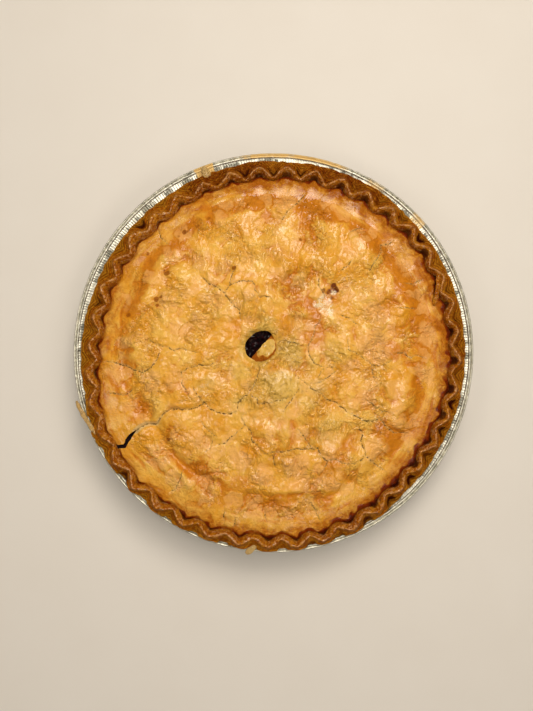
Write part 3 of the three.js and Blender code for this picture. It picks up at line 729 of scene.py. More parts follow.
def paintLid(piece):
    x, y, z = readPoints(piece)
    r, angle = polar(x, y)
    step = 2.0  # slope over a few mm, which the oven browns more
    slope = np.hypot(lidHeight(x + step, y) - lidHeight(x - step, y),
                     lidHeight(x, y + step) - lidHeight(x, y - step)) / (2 * step)
    # burnt sugar along the foot of the ridge, deepest in the pockets under the lobes
    offset = r - innerEdge(angle)
    much, run = around(sugar, angle), around(sugar, angle, 2)
    foot = smooth((offset + 0.8 + run * (1.15 + 0.9 * ripple(x, y, 4, 7))) / (0.6 + 0.8 * run))
    pocket = smooth(r - rimValue(angle, 1) + 0.3 + 0.5 * ripple(x, y, 2.5, 8))
    cusp = smooth(0.5 + 0.6 * np.cos(lobePhase(angle)))
    strongest = 0.35 + 0.5 * np.maximum(cusp, smooth((much - 0.65) / 0.35) * 0.7)
    caramel = np.maximum(foot * (0.3 + 0.75 * much) * strongest, pocket * (0.3 + 0.6 * much))
    bakeAndShade = around(marginBakeAndShade, angle)
    # the margin drawn towards the rope's brown: its baked colour, and painted shade at the top
    toward = smooth((offset + 11.5 + 3.5 * ripple(x, y, 8, 17)) / 8) * bakeAndShade * 1.15
    toward = np.maximum(toward, smooth((offset + 8 + 2 * ripple(x, y, 7, 18)) / 8) * (0.35 + 0.45 * much))
    toward += 0.7 * cusp * smooth((offset + 8.5 + 2 * ripple(x, y, 5, 21)) / 4) * smooth((much - 0.4) / 0.3)
    edge, value, *_ = skinFlakes(x, y)
    onSlope = smooth(slope * 2.2 - 0.2 + 0.6 * ripple(x, y, 15, 57)) * (0.4 + 0.35 * along(angle, 40, 80, 50))
    # darker orange in the hollows and lighter on the raised blisters: partly egg wash that pooled low, partly
    # painted shade
    hollow = smooth(0.45 - 0.75 * (blisterRelief(x, y) + 0.5 * foldRelief(x, y)))
    brown = 0.02 + onSlope + 0.26 * smooth((r - 68) / 30) + 0.3 * (value - 0.5) * smooth(edge / 0.8)
    brown += 0.75 * (hollow - 0.3) + ripples(x, y, (0.5, 17, 3), (0.35, 34, 113))
    # painted lighter towards the lower left, making up for the lamps lighting that side less
    brown -= 0.14 * along(angle, 225, 110, 50) * smooth(r / 30)
    # lighter on the tops of the margin's wrinkles and darker between them: painted shade
    brown -= 0.4 * smooth((offset + 16) / 5) * marginRings(x, y)
    brown = np.clip(np.maximum(brown, spots(x, y, "brown")), 0, 1)
    setTone(piece, "baking", brown, spots(x, y, "moist"), caramel, toward)
    near, _, share, _ = lineDistance(x, y, [tear], 6)
    torn = hump(near, 1.9 - 1.1 * share) * (1 - 0.75 * smooth(share * 1.6))
    cut = smooth((lidTop(x, y) - z - 0.25) / 0.9)
    near = lineDistance(x, y, [split["line"]], 4)[0]
    stain = np.maximum(spots(x, y, "stain"), 1.2 * cut * (near < 3))
    setTone(piece, "marks", stain, torn, spots(x, y, "scorch"), cut)
    setValue(piece, "wetGlint", spots(x, y, "glint"))
    # painted pink sheen on flat flakes of glaze, less where the margin has browned
    pinkSheen = np.maximum(spots(x, y, "pinkSheen"), 0.6 * smooth((value - 0.62) / 0.1) * smooth(edge / 1.6))
    pinkSheen = pinkSheen * (1 - 0.7 * bakeAndShade * smooth((offset + 12) / 6))
    setTone(piece, "skin", value, smooth(1 - edge / 0.9), smooth(0.5 + 1.2 * ripple(x, y, 11, 203)), pinkSheen)
    setValue(piece, "busy", busyAt(x, y) * smooth((-offset - 4) / 8))
    near, side, share, which = lineDistance(x, y, [line[1:] for line in cracks] + [tear], 3)
    strength = np.array([line[0] for line in cracks] + [1.5, 0.0])
    width = 0.19 * strength[which] * (0.55 + 0.9 * smooth(share * (1 - share) * 5))
    width = width * smooth((1.9 - near) / 0.6)
    setValue(piece, "crackSide", np.clip(side, -3, 3))
    setValue(piece, "crackWidth", np.where(near < 1.9, width, 0))


rim = {
    "around": 1440,
    "section": (  # share of the way across the rope, and share of its height
        (-0.16, -0.3), (-0.07, -0.15), (0, 0), (0.07, 0.32), (0.18, 0.68), (0.31, 0.93), (0.43, 1),
        (0.57, 0.88), (0.72, 0.62), (0.87, 0.4), (1, 0.24),
    ),
    "ropeRings": 27,
    "ledgeRings": 14,
    "grooves": ((0.62, 0.06, 0.5), (0.84, 0.055, 0.5)),  # share across the rope, width, depth in mm
    "pinch": 0.13,  # how far the crest and grooves swing with the lobes, as a share of the way across
    "chevron": 1.8,  # mm from fold to fold in the pockets
    "chevronHeight": 0.45,
    "broken": (211.2, 1.215, 0.9),  # where the split reaches the ridge
    "breakDepth": 1.6,
    "upper": (84, 46, 20),  # darker lobes that stand apart
    "folded": (152, 52, 18),  # clearest folds
    "shaded": (35, 105, 45),  # the side that baked darkest
}


def makeRim():
    ropeShares = np.concatenate([[-0.16, -0.07], np.linspace(0, 1, rim["ropeRings"]) ** 1.15])
    ledgeShares = np.linspace(0, 1, rim["ledgeRings"] + 1)[1:]
    rings = len(ropeShares) + len(ledgeShares) + 6
    piece = makeRings("crimped_rim", rim["around"], rings)
    x, y, ring = readPoints(piece)
    spoke = np.rint(polar(x, y)[1] * rim["around"] / 360).astype(int) % rim["around"]
    # spoke by spoke, each from the lid outwards and back underneath
    order = np.lexsort((np.rint(ring).astype(int), spoke))
    angle = polar(x, y)[1][order][::rings]
    phase = lobePhase(angle)
    inner, outer = innerEdge(angle), outerEdge(angle)
    upper, folded = along(angle, *rim["upper"]), along(angle, *rim["folded"])
    broken, shaded = along(angle, *rim["broken"]), along(angle, *rim["shaded"])
    pinched = smooth(-np.cos(phase) * 2.2 - 1.2)  # where two lobes meet
    crest = crimp["crest"] + (0.4 + 0.5 * upper) * np.cos(phase) + 0.5 * unevenAround(angle, 9, 5)
    crest = crest - rim["breakDepth"] * broken - 1.2 * upper * pinched
    edge = np.minimum(np.maximum(rimValue(angle, 5) + 0.5 * unevenAround(angle, 40, 8), outer + 0.7), 121.2)
    edge = edge - 1.3 * along(angle, *slideBy["stretch"]) * smooth(-np.cos(phase) * 2 - 0.6) + 0.6 * shaded
    over = smooth((edge - 118.4) / 0.9)  # 1 where the dough lies over the rolled edge
    radius, height, brown, dark, pale, line, gloss, top = np.zeros((8, rim["around"], rings))
    cosine, sine = planar(1, angle)
    strength = 0.45 + 0.4 * folded + 0.35 * unevenAround(angle, 16, 61)
    base = crimp["crease"] - 1.1
    lobe = 2 * np.abs(np.cos(phase / 2)) - 1
    shade, burnt = around(pockets, angle), around(sugar, angle)
    pocket = smooth(np.cos(phase) * 2.0 - 0.6) * (0.4 + 0.5 * burnt)
    pool = 0.22 + 0.16 * shaded * (1 + unevenAround(angle, 13, 35))
    for k, share in enumerate(ropeShares):
        jitter = 0.3 * ripple(cosine * 110, sine * 110, 2.6, 66) * smooth(share * 6)
        radius[:, k] = inner + (outer - inner) * share + jitter
        ax, ay = radius[:, k] * cosine, radius[:, k] * sine
        swung = share - rim["pinch"] * lobe * math.sin(math.pi * min(max(share, 0), 1))
        rise = np.interp(swung, *zip(*rim["section"]))
        rough = ripples(ax, ay, (0.7, 4.2, 12), (0.7, 2.2, 13), (0.4, 1.25, 14))
        rough = rough * (0.15 + 0.85 * np.maximum(rise, 0)) * (0.8 + 0.4 * upper)
        groove = strength * sum(depth * hump(swung - at, width) for at, width, depth in rim["grooves"])
        height[:, k] = base + (crest - base) * rise + rough - groove * 1.3
        outward = smooth((share - 0.35) / 0.35)
        # painted shade: the rope darker away from its crest and in its grooves, lighter on its raised lumps,
        # and on the lighter sides of the pie its outer slope painted lighter against the shade that falls on
        # it
        brown[:, k] = (0.6 * abs(share - 0.36) + 0.5 * groove - 0.35 * rough
                       + shaded * 0.1 * outward - (1 - shaded) * (0.1 + 0.25 * outward))
        # painted shade along the grooves
        line[:, k] = groove * 1.2
        gloss[:, k] = smooth((0.62 - swung) / 0.25)
        # where the painted highlight runs along the crest
        top[:, k] = hump(swung - 0.4, 0.07)
        foot = burnt * (0.3 + 0.7 * smooth(0.5 + 0.6 * np.cos(phase))) * smooth((0.13 - share) / 0.13)
        gap = smooth(-np.cos(phase) * 2.0 - 0.5) * smooth((share - 0.6) / 0.35) * shade
        seam = 0.5 * pinched * np.maximum(upper, 0.6 * shaded) * smooth((share - 0.35) / 0.3)
        dark[:, k] = np.max([foot, pocket * smooth((pool - share) / 0.22), gap, seam], axis=0)
    room = np.maximum(edge - outer, 0.6)
    for k, share in enumerate(ledgeShares, len(ropeShares)):
        radius[:, k] = outer + room * share
        depth = share * room
        ax, ay = radius[:, k] * cosine, radius[:, k] * sine
        fold = np.sin(2 * np.pi * (depth / rim["chevron"] + 0.3 * ripple(ax, ay, 5, 19)) + 2.2)
        fade = smooth((1 - share) / 0.25) * smooth((room - 1.4) / 2.0)
        sunken = smooth(1.2 - depth / 3.2) * smooth(-np.cos(phase) * 1.5 + 0.1) * shade
        rough = ripples(ax, ay, (0.5, 3.1, 23), (0.3, 1.3, 24)) + 0.65 * hump(depth, 1.2)
        height[:, k] = (crimp["ledge"] + 0.3 + rim["chevronHeight"] * fold * fade + rough
                        - (0.8 - 0.7 * over) * share ** 3 - 0.9 * sunken * (1 - over))
        brown[:, k] = 0.25 + 0.15 * shaded
        pale[:, k] = smooth(depth / 1.6)
        # painted shade in the valleys between the chevron folds
        line[:, k] = smooth(-fold * 1.3) * fade
        dark[:, k] = sunken
    below = ((edge + 0.15, 31.4 + 0.5 * over), (edge, 30.75 + 0.75 * over), (edge - 0.5, 30.4 + 0.85 * over),
             (np.minimum(edge - 2.5, 118.2), 30.4), (rimValue(angle, 1) + 1, 30.4), (inner - 1.2, 30.6))
    for k, (ringRadius, ringHeight) in enumerate(below, rings - 6):
        radius[:, k], height[:, k] = ringRadius, ringHeight
        pale[:, k] = 1

    def placed(values):
        kept = np.empty(values.size)
        kept[order] = values.ravel()
        return kept

    writePoints(piece, placed(radius * cosine[:, None]), placed(radius * sine[:, None]), placed(height))
    uneven = 0.5 + 0.5 * unevenAround(angle, 7, 71)
    brown = np.clip(brown * 0.8 + (0.4 * upper + 0.5 * uneven - 0.3)[:, None], 0, 1)
    dark = np.clip(dark * (0.75 + 0.35 * uneven)[:, None], 0, 1)
    pale = np.clip(pale * (1 - 0.5 * np.maximum(upper, 0.7 * shaded))[:, None], 0, 1)
    setTone(piece, "rimTone", placed(brown), placed(dark), placed(pale), placed(np.clip(line, 0, 1)))
    setValue(piece, "gloss", placed(gloss))
    setValue(piece, "crest", placed(top))
    makeOuter(piece)
    bpy.ops.object.shade_smooth()
    return piece


flap = {"tilt": 15, "thickness": 1.9, "hingeBeyond": 1.2, "sag": 0.7, "setBack": 1.3,
        "dry": (1.6, -3.4, 6.4, 4.4)}  # the part that juice hasn't reached: its middle and half sizes


def makeFlap():
    startPiece()
    bpy.ops.mesh.primitive_grid_add(x_subdivisions=44, y_subdivisions=26, size=2)
    piece = namePiece("vent_flap")
    sideways, back, _ = readPoints(piece, 1)
    back = (back + 1) / 2  # 0 at the free edge, 1 at the hinge
    hinge = vent["short"] + flap["hingeBeyond"]
    v = -hinge * back + 0.25 * np.sin(sideways * 3.0) * (1 - back) - flap["setBack"] * (1 - back)
    x, y = outOfVent(vent["long"] * 0.985 * sideways * np.sqrt(1 - (0.985 * back) ** 2), v)
    level = lidHeight(np.array([vent["x"] + 6]), np.array([vent["y"] - 6]))[0] - 0.5
    z = level - (hinge + v) * math.tan(math.radians(flap["tilt"]))
    z = z - flap["sag"] * smooth(-sideways) * (1 - back)
    writePoints(piece, x, y, z + ripples(x, y, (0.35, 3.2, 5), (0.5, 6, 8)))
    thick = piece.modifiers.new("thickness", "SOLIDIFY")
    thick.thickness, thick.offset = flap["thickness"] * mm, -1
    edges = piece.modifiers.new("edges", "BEVEL")
    edges.width, edges.segments = 0.35 * mm, 2
    edges.limit_method, edges.angle_limit = "ANGLE", math.radians(50)
    finer = piece.modifiers.new("finer", "SUBSURF")
    finer.levels = finer.render_levels = 1
    applyModifiers(piece)
    makeOuter(piece)
    x, y, z = readPoints(piece)
    dx, dy = x - vent["x"], y - vent["y"]
    u, v = inVent(x, y)
    middleU, middleV, halfU, halfV = flap["dry"]
    beyond = np.hypot((u - middleU) / halfU, (v - middleV) / halfV) + 0.25 * ripple(dx, dy, 3.1, 77)
    wet = smooth((beyond - 0.85) / 0.25)
    writePoints(piece, x, y, z - 0.7 * wet * smooth((z - z.min()) / 1.5))
    low = smooth((-dx * 0.5 - dy * 0.85 - 1.5) / 4)
    setTone(piece, "baking", 0.1 + 0.8 * wet, 0.8 * (1 - wet), 0.14 * wet * (1 - low), wet * 1.6)
    setTone(piece, "marks", 0, 0, 0.6 * wet * low, 0)
    setTone(piece, "skin", 0.5, 0, 0.5, 0)
    setValue(piece, "busy", 0.3)
    setValue(piece, "crackSide", 3.0)
    setValue(piece, "crackWidth", 0)
    bpy.ops.object.shade_smooth()
    return piece


strands = (  # start and end as degrees, radius and height in mm, then half width, half height and paleness
    ((206.5, 118.0, 32.2), (194.6, 123.4, 31.9), 1.35, 1.0, 1.6),
    ((265.0, 117.6, 32.3), (262.2, 123.3, 32.1), 1.9, 1.1, 1.8),
    ((110.6, 113.6, 31.7), (111.0, 121.2, 31.0), 2.4, 0.9, 1.7),
    ((25.0, 110.4, 35.2), (15.4, 100.9, 34.6), 1.6, 0.9, 0.1),
)


def makeStrand(index, start, end, wide, tall, pale):
    startPiece()
    bpy.ops.mesh.primitive_uv_sphere_add(segments=36, ring_count=64, radius=1, rotation=(0, math.pi / 2, 0))
    bpy.ops.object.transform_apply(rotation=True)
    piece = namePiece(f"dough_strand_{index + 1}")
    length, across, up = readPoints(piece, 1)
    share = 0.5 + 0.5 * np.sin(np.clip(length, -1, 1) * np.pi / 2)
    turn, radius, z = (first + (last - first) * share for first, last in zip(start, end))
    course = Vector(planar(end[1], end[0])) - Vector(planar(start[1], start[0]))
    spread = wide * (1 + 0.35 * ripple(share * course.length, across * 0.6 + index * 7.0, 3.0, 41))
    x, y = planar(radius, turn)
    x = x - across * spread * course.y / course.length
    y = y + across * spread * course.x / course.length
    z = z + 0.9 * np.sin(np.pi * share) + up * tall * (1 + 0.3 * ripple(x, y, 2.4, 16))
    writePoints(piece, x, y, z + 0.2 * ripple(x, y, 1.6, 15))
    makeOuter(piece)
    # its sides painted dark as the shade along its edges, where it lies on the crust
    setTone(piece, "rimTone", 0.25, smooth(np.abs(across) * 3.2 - 2.1) * (1 if pale < 1 else 0.25), pale, 0)
    setValue(piece, "gloss", 0.5)
    bpy.ops.object.shade_smooth()
    return piece


tin = {
    "around": 1840,
    "profile": (  # radius and height in mm, up the outside, over the rolled edge and back in
        (60, 0), (84, 0), (87, 0.05), (89, 0.5), (90.4, 1.8), (91.3, 3.4), (93.5, 7.2), (96.5, 12),
        (99.6, 17), (102.8, 22), (105.6, 26.4), (107, 28.6), (107.9, 29.3), (109.2, 29.58), (114, 29.6),
        (118.4, 29.5), (119.2, 28.9), (120, 28.35), (120.9, 28.25), (121.6, 28.65), (121.95, 29.3),
        (122, 29.9), (121.75, 30.5), (121.3, 30.85), (120.85, 30.75), (120.55, 30.3), (120.25, 30.6),
        (119.8, 30.8), (119.3, 30.65), (119, 30.1), (118.6, 29.95), (117.6, 30), (116.4, 30), (114.5, 30),
        (111.5, 30), (109, 29.95), (107.8, 29.6), (106.9, 28.5), (105.2, 26.4), (102.4, 22), (96.1, 12),
        (90.9, 3.6), (89.6, 1.9), (88.4, 0.9), (86, 0.42), (60, 0.4),
    ),
    "ribs": 460,
    "ribDepth": 0.28,
    "pleats": 56,
    "pleatDepth": 0.5,
}


def makeTin():
    startPiece()
    bpy.ops.mesh.primitive_circle_add(vertices=tin["around"], radius=tin["profile"][0][0] * mm,
                                      fill_type="TRIFAN", location=(0, 0, 0))
    piece = namePiece("foil_pie_tin")
    editAll("EDGE")
    bpy.ops.mesh.region_to_loop()
    for (r0, z0), (r1, z1) in zip(tin["profile"], tin["profile"][1:]):
        growRing(r0, r1, (z1 - z0) * mm)
    closeRing()
    x, y, z = readPoints(piece)
    r, angle = polar(x, y)
    # pleats of the wall, deepest halfway up
    onWall = smooth((r - 88) / 5) * smooth((28.6 - z) / 6)
    fold = np.abs(((angle / 360 * tin["pleats"] + 0.22 * unevenAround(angle, 9, 31)) % 1) * 2 - 1)
    r = r - tin["pleatDepth"] * onWall * fold ** 2 * (0.7 + 0.3 * unevenAround(angle, 22, 3))
    # fine ribs pressed across the flange, and a dented rolled edge
    onFlange = smooth((r - 109.5) / 2) * smooth((119.4 - r) / 0.6) * smooth((z - 29) / 0.4)
    phase = angle / 360 * tin["ribs"] + 0.12 * unevenAround(angle, 40, 4)
    z = z + tin["ribDepth"] * onFlange * np.cos(2 * np.pi * phase) * (0.7 + 0.4 * unevenAround(angle, 30, 6))
    onBead = smooth((r - 118.8) / 0.6)
    z = z + onBead * (0.09 * unevenAround(angle, 55, 12) + 0.05 * unevenAround(angle, 120, 13))
    z = np.minimum(z, 31.2)
    r = np.minimum(r + onBead * 0.1 * unevenAround(angle, 45, 17), 122.0)
    z = z + 0.25 * smooth((r - 109) / 10) * unevenAround(angle, 3.5, 41) * smooth((z - 20) / 6)
    z = np.where(r < 60, z, np.maximum(z, 0))
    writePoints(piece, *planar(r, angle), z)
    makeOuter(piece)
    # egg wash that dripped on the rolled edge
    wash = (0.8 * along(angle, 84, 26, 16) * onBead + along(angle, 111, 4, 2)
            + 0.6 * along(angle, 58, 5, 3) + 0.6 * along(angle, 42, 4, 2))
    setTone(piece, "foilTone", np.clip(wash * smooth((z - 28.7) / 0.6), 0, 1), onFlange, onBead, 0)
    bpy.ops.object.shade_smooth_by_angle(angle=math.radians(50))
    return piece


berries = {
    "places": (  # x, y, radius and top in mm
        (-12.1, 3.2, 4.7, 40.1), (-7.7, 8.4, 4.3, 39.8), (-13.7, -2.6, 3.9, 39.4), (-3.5, 7.6, 3.6, 39.3),
        (-8.9, 2.4, 4.0, 38.8), (-4.9, 3.6, 3.4, 38.4),
    ),
}


def makeBerries():
    startPiece()
    for x, y, radius, top in berries["places"]:
        bpy.ops.mesh.primitive_uv_sphere_add(segments=48, ring_count=32, radius=radius * mm,
                                             location=(x * mm, y * mm, (top - radius) * mm))
    spheres = [made for made in bpy.context.view_layer.objects if made.name.startswith("Sphere")]
    for sphere in spheres:
        sphere.select_set(True)
    bpy.context.view_layer.objects.active = spheres[0]
    bpy.ops.object.join()
    bpy.ops.object.transform_apply(location=True, rotation=True, scale=True)
    piece = namePiece("vent_berries")
    x, y, z = readPoints(piece)
    # cooked skins: soft dents and fine wrinkles
    dents = ripples(x, y, (0.35, 2.6, 3), (0.16, 1.1, 4), (0.08, 0.6, 5))
    writePoints(piece, x + 0.25 * ripple(y, z, 2.2, 6), y, z + dents)
    makeOuter(piece)
    bpy.ops.object.shade_smooth()
    return piece


class Level:
    # a number that varies over a surface: sums on it add the nodes
    def __init__(self, finish, socket):
        self.finish, self.socket = finish, socket

    def work(self, operation, *values, clamp=False):
        made = self.finish.add("Math", {"operation": operation, "use_clamp": clamp}, dict(enumerate(values)))
        return Level(self.finish, made.outputs[0])

    def __add__(self, other):
        return self.work("ADD", self, other)

    def __sub__(self, other):
        return self.work("SUBTRACT", self, other)

    def __rsub__(self, other):
        return self.work("SUBTRACT", other, self)

    def __mul__(self, other):
        return self.work("MULTIPLY", self, other)

    def __truediv__(self, other):
        return self.work("DIVIDE", self, other)

    def __rtruediv__(self, other):
        return self.work("DIVIDE", other, self)

    __radd__, __rmul__ = __add__, __mul__

    def within(self):
        return self.work("ADD", self, 0.0, clamp=True)

    def rise(self, low, high):
        # 0 below low, 1 above high, smooth between
        made = self.finish.add("MapRange", {"interpolation_type": "SMOOTHSTEP"},
                               {"Value": self, "From Min": low, "From Max": high})
        return Level(self.finish, made.outputs[0])


def linear(*colour):
    # from the 0 to 255 of a picture
    shares = [c / 255 for c in colour]
    return [c / 12.92 if c <= 0.04045 else ((c + 0.055) / 1.055) ** 2.4 for c in shares] + [1]


crustColours = {
    # pinkSheen is a painted sheen of the glaze
    "golden": (226, 154, 34), "light": (244, 198, 94), "orange": (204, 118, 2), "pinkSheen": (238, 174, 96),
    "russet": (160, 80, 6), "moist": (218, 178, 84), "damp": (162, 118, 34), "crumb": (228, 192, 126),
    "caramel": (66, 10, 0), "sugarRed": (138, 50, 0), "rope": (172, 92, 4), "ropeDark": (116, 44, 0),
    "ropeLight": (216, 142, 34), "ledge": (188, 126, 26), "scorch": (146, 76, 8), "stain": (96, 22, 0),
    # pale is the painted highlight on the rope's crest
    "glare": (250, 226, 180), "pale": (232, 172, 112), "wall": (140, 74, 10), "crackDark": (52, 32, 8),
    "crackSoft": (150, 104, 44), "crackPale": (238, 200, 122),
}


class Finish:
    # one material, built up layer by layer
    def __init__(self, name, **fixed):
        self.material = bpy.data.materials.new(name)
        self.material.use_nodes = True
        self.tree = self.material.node_tree
        self.tree.nodes.clear()
        self.shader = self.add("BsdfPrincipled", {}, {key.replace("_", " "): fixed[key] for key in fixed})
        self.add("OutputMaterial", {}, {"Surface": self.shader.outputs[0]})
        self.place = self.add("TexCoord").outputs["Object"]

    def add(self, kind, settings=None, inputs=None):
        made = self.tree.nodes.new("ShaderNode" + kind)
        for key, value in (settings or {}).items():
            setattr(made, key, value)
        for key, value in (inputs or {}).items():
            self.feed(made.inputs[key], value)
        return made

    def feed(self, socket, value):
        value = value.socket if isinstance(value, Level) else value
        if isinstance(value, bpy.types.NodeSocket):
            self.tree.links.new(value, socket)
        else:
            socket.default_value = value

    def noise(self, size, detail=2.0, roughness=0.5, distortion=0.0, **settings):
        # size is the distance between lumps in mm
        inputs = {"Vector": self.place, "Scale": 1 / (size * mm), "Detail": detail, "Roughness": roughness,
                  "Distortion": distortion}
        return Level(self, self.add("TexNoise", settings, inputs).outputs[0])

    def uneven(self, *values):
        return self.noise(*values) - 0.5

    def value(self, name):
        return Level(self, self.add("Attribute", {"attribute_name": name}).outputs["Fac"])

    def tone(self, name):
        read = self.add("Attribute", {"attribute_name": name})
        parts = self.add("SeparateColor", {}, {"Color": read.outputs["Color"]}).outputs
        return [Level(self, s) for s in (parts[0], parts[1], parts[2], read.outputs["Alpha"])]

    def mix(self, share, first, second):
        # sockets, names of crust colours, or three numbers from 0 to 255
        ends = [crustColours[end] if isinstance(end, str) else end for end in (first, second)]
        ends = [linear(*end) if isinstance(end, tuple) else end for end in ends]
        return self.add("Mix", {"data_type": "RGBA"}, {0: share, 6: ends[0], 7: ends[1]}).outputs[2]

    def paint(self, share, colour):
        # lays a colour over what is there
        self.colour = self.mix(share, self.colour, colour)

    def bump(self, height, distance, strength=1.0, under=None):
        inputs = {"Height": height, "Distance": distance * mm, "Strength": strength}
        if under is not None:
            inputs["Normal"] = under
        return self.add("Bump", {}, inputs).outputs[0]

    def finish(self, **sockets):
        self.feed(self.shader.inputs["Base Color"], self.colour)
        for name, value in sockets.items():
            self.feed(self.shader.inputs[name.replace("_", " ")], value)
        return self.material


def lidFinish():
    f = Finish("egg_washed_lid", Specular_IOR_Level=0.12, Coat_Roughness=0.13, Coat_IOR=1.5)
    brown, moist, caramel, toward = f.tone("baking")
    stain, torn, scorch, cut = f.tone("marks")
    flake, seam, glossy, pinkSheen = f.tone("skin")
    broad, middle, fine = f.uneven(16, 3, 0.55), f.uneven(5, 4, 0.62, 0.8), f.uneven(1.3, 3, 0.65)
    paler = broad * 1.5 + 0.35 + middle * 1.1 + (flake - 0.5) * 0.35
    f.colour = f.mix(paler.within(), "golden", "light")
    deep = (brown + middle * 1.1 + broad * 0.5 + fine * 0.25).rise(0.22, 0.95)
    f.paint(deep * 0.9, "orange")
    darker = (brown * 0.8 + toward * 0.35 + middle * 1.2 + fine * 0.4).rise(0.72, 1.25)
    f.paint(darker * 0.75, "russet")
    f.paint((toward * (f.noise(3.4, 3, 0.6, 1.2) * 2.2 - 0.45)).within() * 0.9, "rope")
    # painted pink sheen of the glaze
    pink = (pinkSheen + middle * 0.8 * pinkSheen.rise(0.0, 0.3) - seam * 0.5).rise(0.3, 0.75)
    f.paint(pink * 0.7, "pinkSheen")
    wet = (moist + middle * 0.9 * moist).rise(0.12, 0.9)
    f.paint(wet * 0.8, "moist")
    f.paint(wet * f.noise(3.2, 3, 0.6, 0.5).rise(0.5, 0.68) * 0.7, "damp")
    f.paint(f.noise(0.6, 2, 0.7).rise(0.54, 0.72) * 0.25, "ropeLight")
    # painted shade in the creases between flakes, along with their darker baked borders
    f.paint(seam * (middle + 0.2) * 0.6, "russet")
    f.paint((scorch + fine * scorch).rise(0.25, 0.8) * 0.85, "scorch")
    f.paint((torn + fine * 0.8 * torn).rise(0.2, 0.75), "crumb")
    burnt = caramel + middle * 0.7 * caramel
    f.paint(burnt.rise(0.12, 0.5), "sugarRed")
    f.paint(burnt.rise(0.45, 1.0), "caramel")
    # cracks: a jagged, broken line painted dark as the shade inside the crack, between two pale flaked edges
    side, width = f.value("crackSide"), f.value("crackWidth")
    jag = f.uneven(1.0, 3, 0.75) * 2.6 + f.uneven(3.4) * 1.8
    away = side.work("ABSOLUTE", side + jag)
    present, gaps = width.rise(0.01, 0.06), f.noise(1.7, 2, 0.6).rise(0.42, 0.56)
    line = (1 - (away / (width * (0.3 + gaps * 0.8) + 0.001)).rise(0.6, 1.3)) * present * (0.12 + gaps * 0.88)
    flaked = (1 - (away / (width * 2.4 + 0.001)).rise(0.5, 1.3)) * present
    f.paint(flaked * 0.3, "crackPale")
    f.paint(line * 0.85, f.mix(f.noise(0.8, 2, 0.6).rise(0.42, 0.56), "crackSoft", "crackDark"))
    f.paint(cut, "wall")
    f.paint((stain + fine * 1.2 * stain).rise(0.35, 0.9) * 0.92, "stain")
    wetGlint = f.value("wetGlint")
    f.paint(wetGlint.rise(0.1, 0.8) * f.noise(2.0, 3, 0.65, 1.4).rise(0.44, 0.56) * 0.8, "glare")
    glaze = (f.noise(7, 3, 0.55) * 1.6 - 0.4 + caramel * 0.8 - toward * 0.25 + (glossy - 0.5) * 0.6).within()
    rough = 0.42 - glaze * 0.18 + fine * 0.12 + torn * 0.25 + line * 0.3 - stain * 0.2
    busy = f.value("busy")
    bands = (f.noise(9, 2, 0.5, 0.4) * 9 + f.noise(3) * 1.6) * math.pi
    swirl = bands.work("ABSOLUTE", bands.work("SINE", bands))
    ridged = f.noise(3.0, 2.5, 0.55, 0.9, noise_type="RIDGED_MULTIFRACTAL", normalize=True)
    relief = f.noise(1.9, 4, 0.62, 0.8) * 0.6 + f.noise(0.8, 3, 0.6) * 0.25 + ridged * 0.4
    relief = relief * (0.75 + toward * 0.8 + busy * 0.6 + wetGlint * 0.6 + caramel * 1.4) + swirl * busy * 0.3
    normal = f.bump(flaked * 0.3 - line, 0.2, 0.9, f.bump(relief, 1.15))
    coat = 0.3 + glaze * 0.7 - torn - cut - line - toward * 0.25 - scorch - stain * 0.8 + wetGlint
    return f.finish(Roughness=rough.within(), Coat_Weight=coat.within(), Normal=normal)


def rimFinish():
    f = Finish("baked_crimps", Specular_IOR_Level=0.06, Coat_Roughness=0.13, Coat_IOR=1.55)
    brown, dark, pale, lines = f.tone("rimTone")
    middle, fine, patch = f.uneven(3.4, 4, 0.65, 0.8), f.uneven(1.2, 3, 0.65), f.uneven(2.6, 3, 0.6, 1.2)
    f.colour = f.mix((middle * 5 + fine * 3 + 0.3).within(), "rope", "ropeLight")
    f.paint((pale + middle * 0.6).rise(0.2, 0.9) * 0.9, "ledge")
    # brown carries the rope's baked colour and its painted shade
    deep = (brown + patch * 1.9 + fine * 1.3).rise(0.32, 0.95)
    f.paint(deep * 0.85, "ropeDark")
    onTop = f.value("gloss")
    # painted highlight along the rope's crest
    crestHighlight = (f.noise(2.0, 3, 0.65, 0.8) + f.value("crest") * 0.14).rise(0.55, 0.63)
    f.paint(crestHighlight * onTop * (1 - pale).within() * 0.75, "pale")
    # painted shade along the fold valleys
    f.paint(lines * 0.7, "ropeDark")
    f.paint((dark + fine * 0.5 * dark).rise(0.25, 0.95), "caramel")
    f.paint((pale - 1.0).rise(0.0, 0.8) * 0.85, "crumb")
    rough = 0.36 - dark * 0.06 + pale * 0.1 + fine * 0.2
    relief = f.noise(2.1, 4, 0.65, 0.6) * 0.9 + f.noise(0.8, 3, 0.6) * 0.45
    coat = (f.noise(2.2).rise(0.5, 0.6) * onTop).within()
    return f.finish(Roughness=rough.within(), Coat_Weight=coat, Normal=f.bump(relief * (1 + dark * 0.6), 3.0))


def foilFinish():
    f = Finish("bright_foil", Metallic=1.0, Roughness=0.25)
    wash, onFlange, onBead, _ = f.tone("foilTone")
    streaks = f.noise(3.0, 3, 0.6)
    f.colour = f.mix((streaks * 1.8 - 0.4).within(), (134, 130, 114), (238, 234, 216))
    egg = (wash * (f.noise(4, 3, 0.6) + 0.35)).rise(0.35, 0.7)
    f.paint(egg * 0.85, (226, 186, 104))
    rough = 0.36 + streaks * 0.14 + egg * 0.15
    crumple = f.noise(1.6, 4, 0.65) * (0.35 + onBead * 0.4) + f.noise(7) * 0.6
    return f.finish(Roughness=rough.within(), Metallic=1 - egg * 0.55, Normal=f.bump(crumple, 0.3, 0.5))


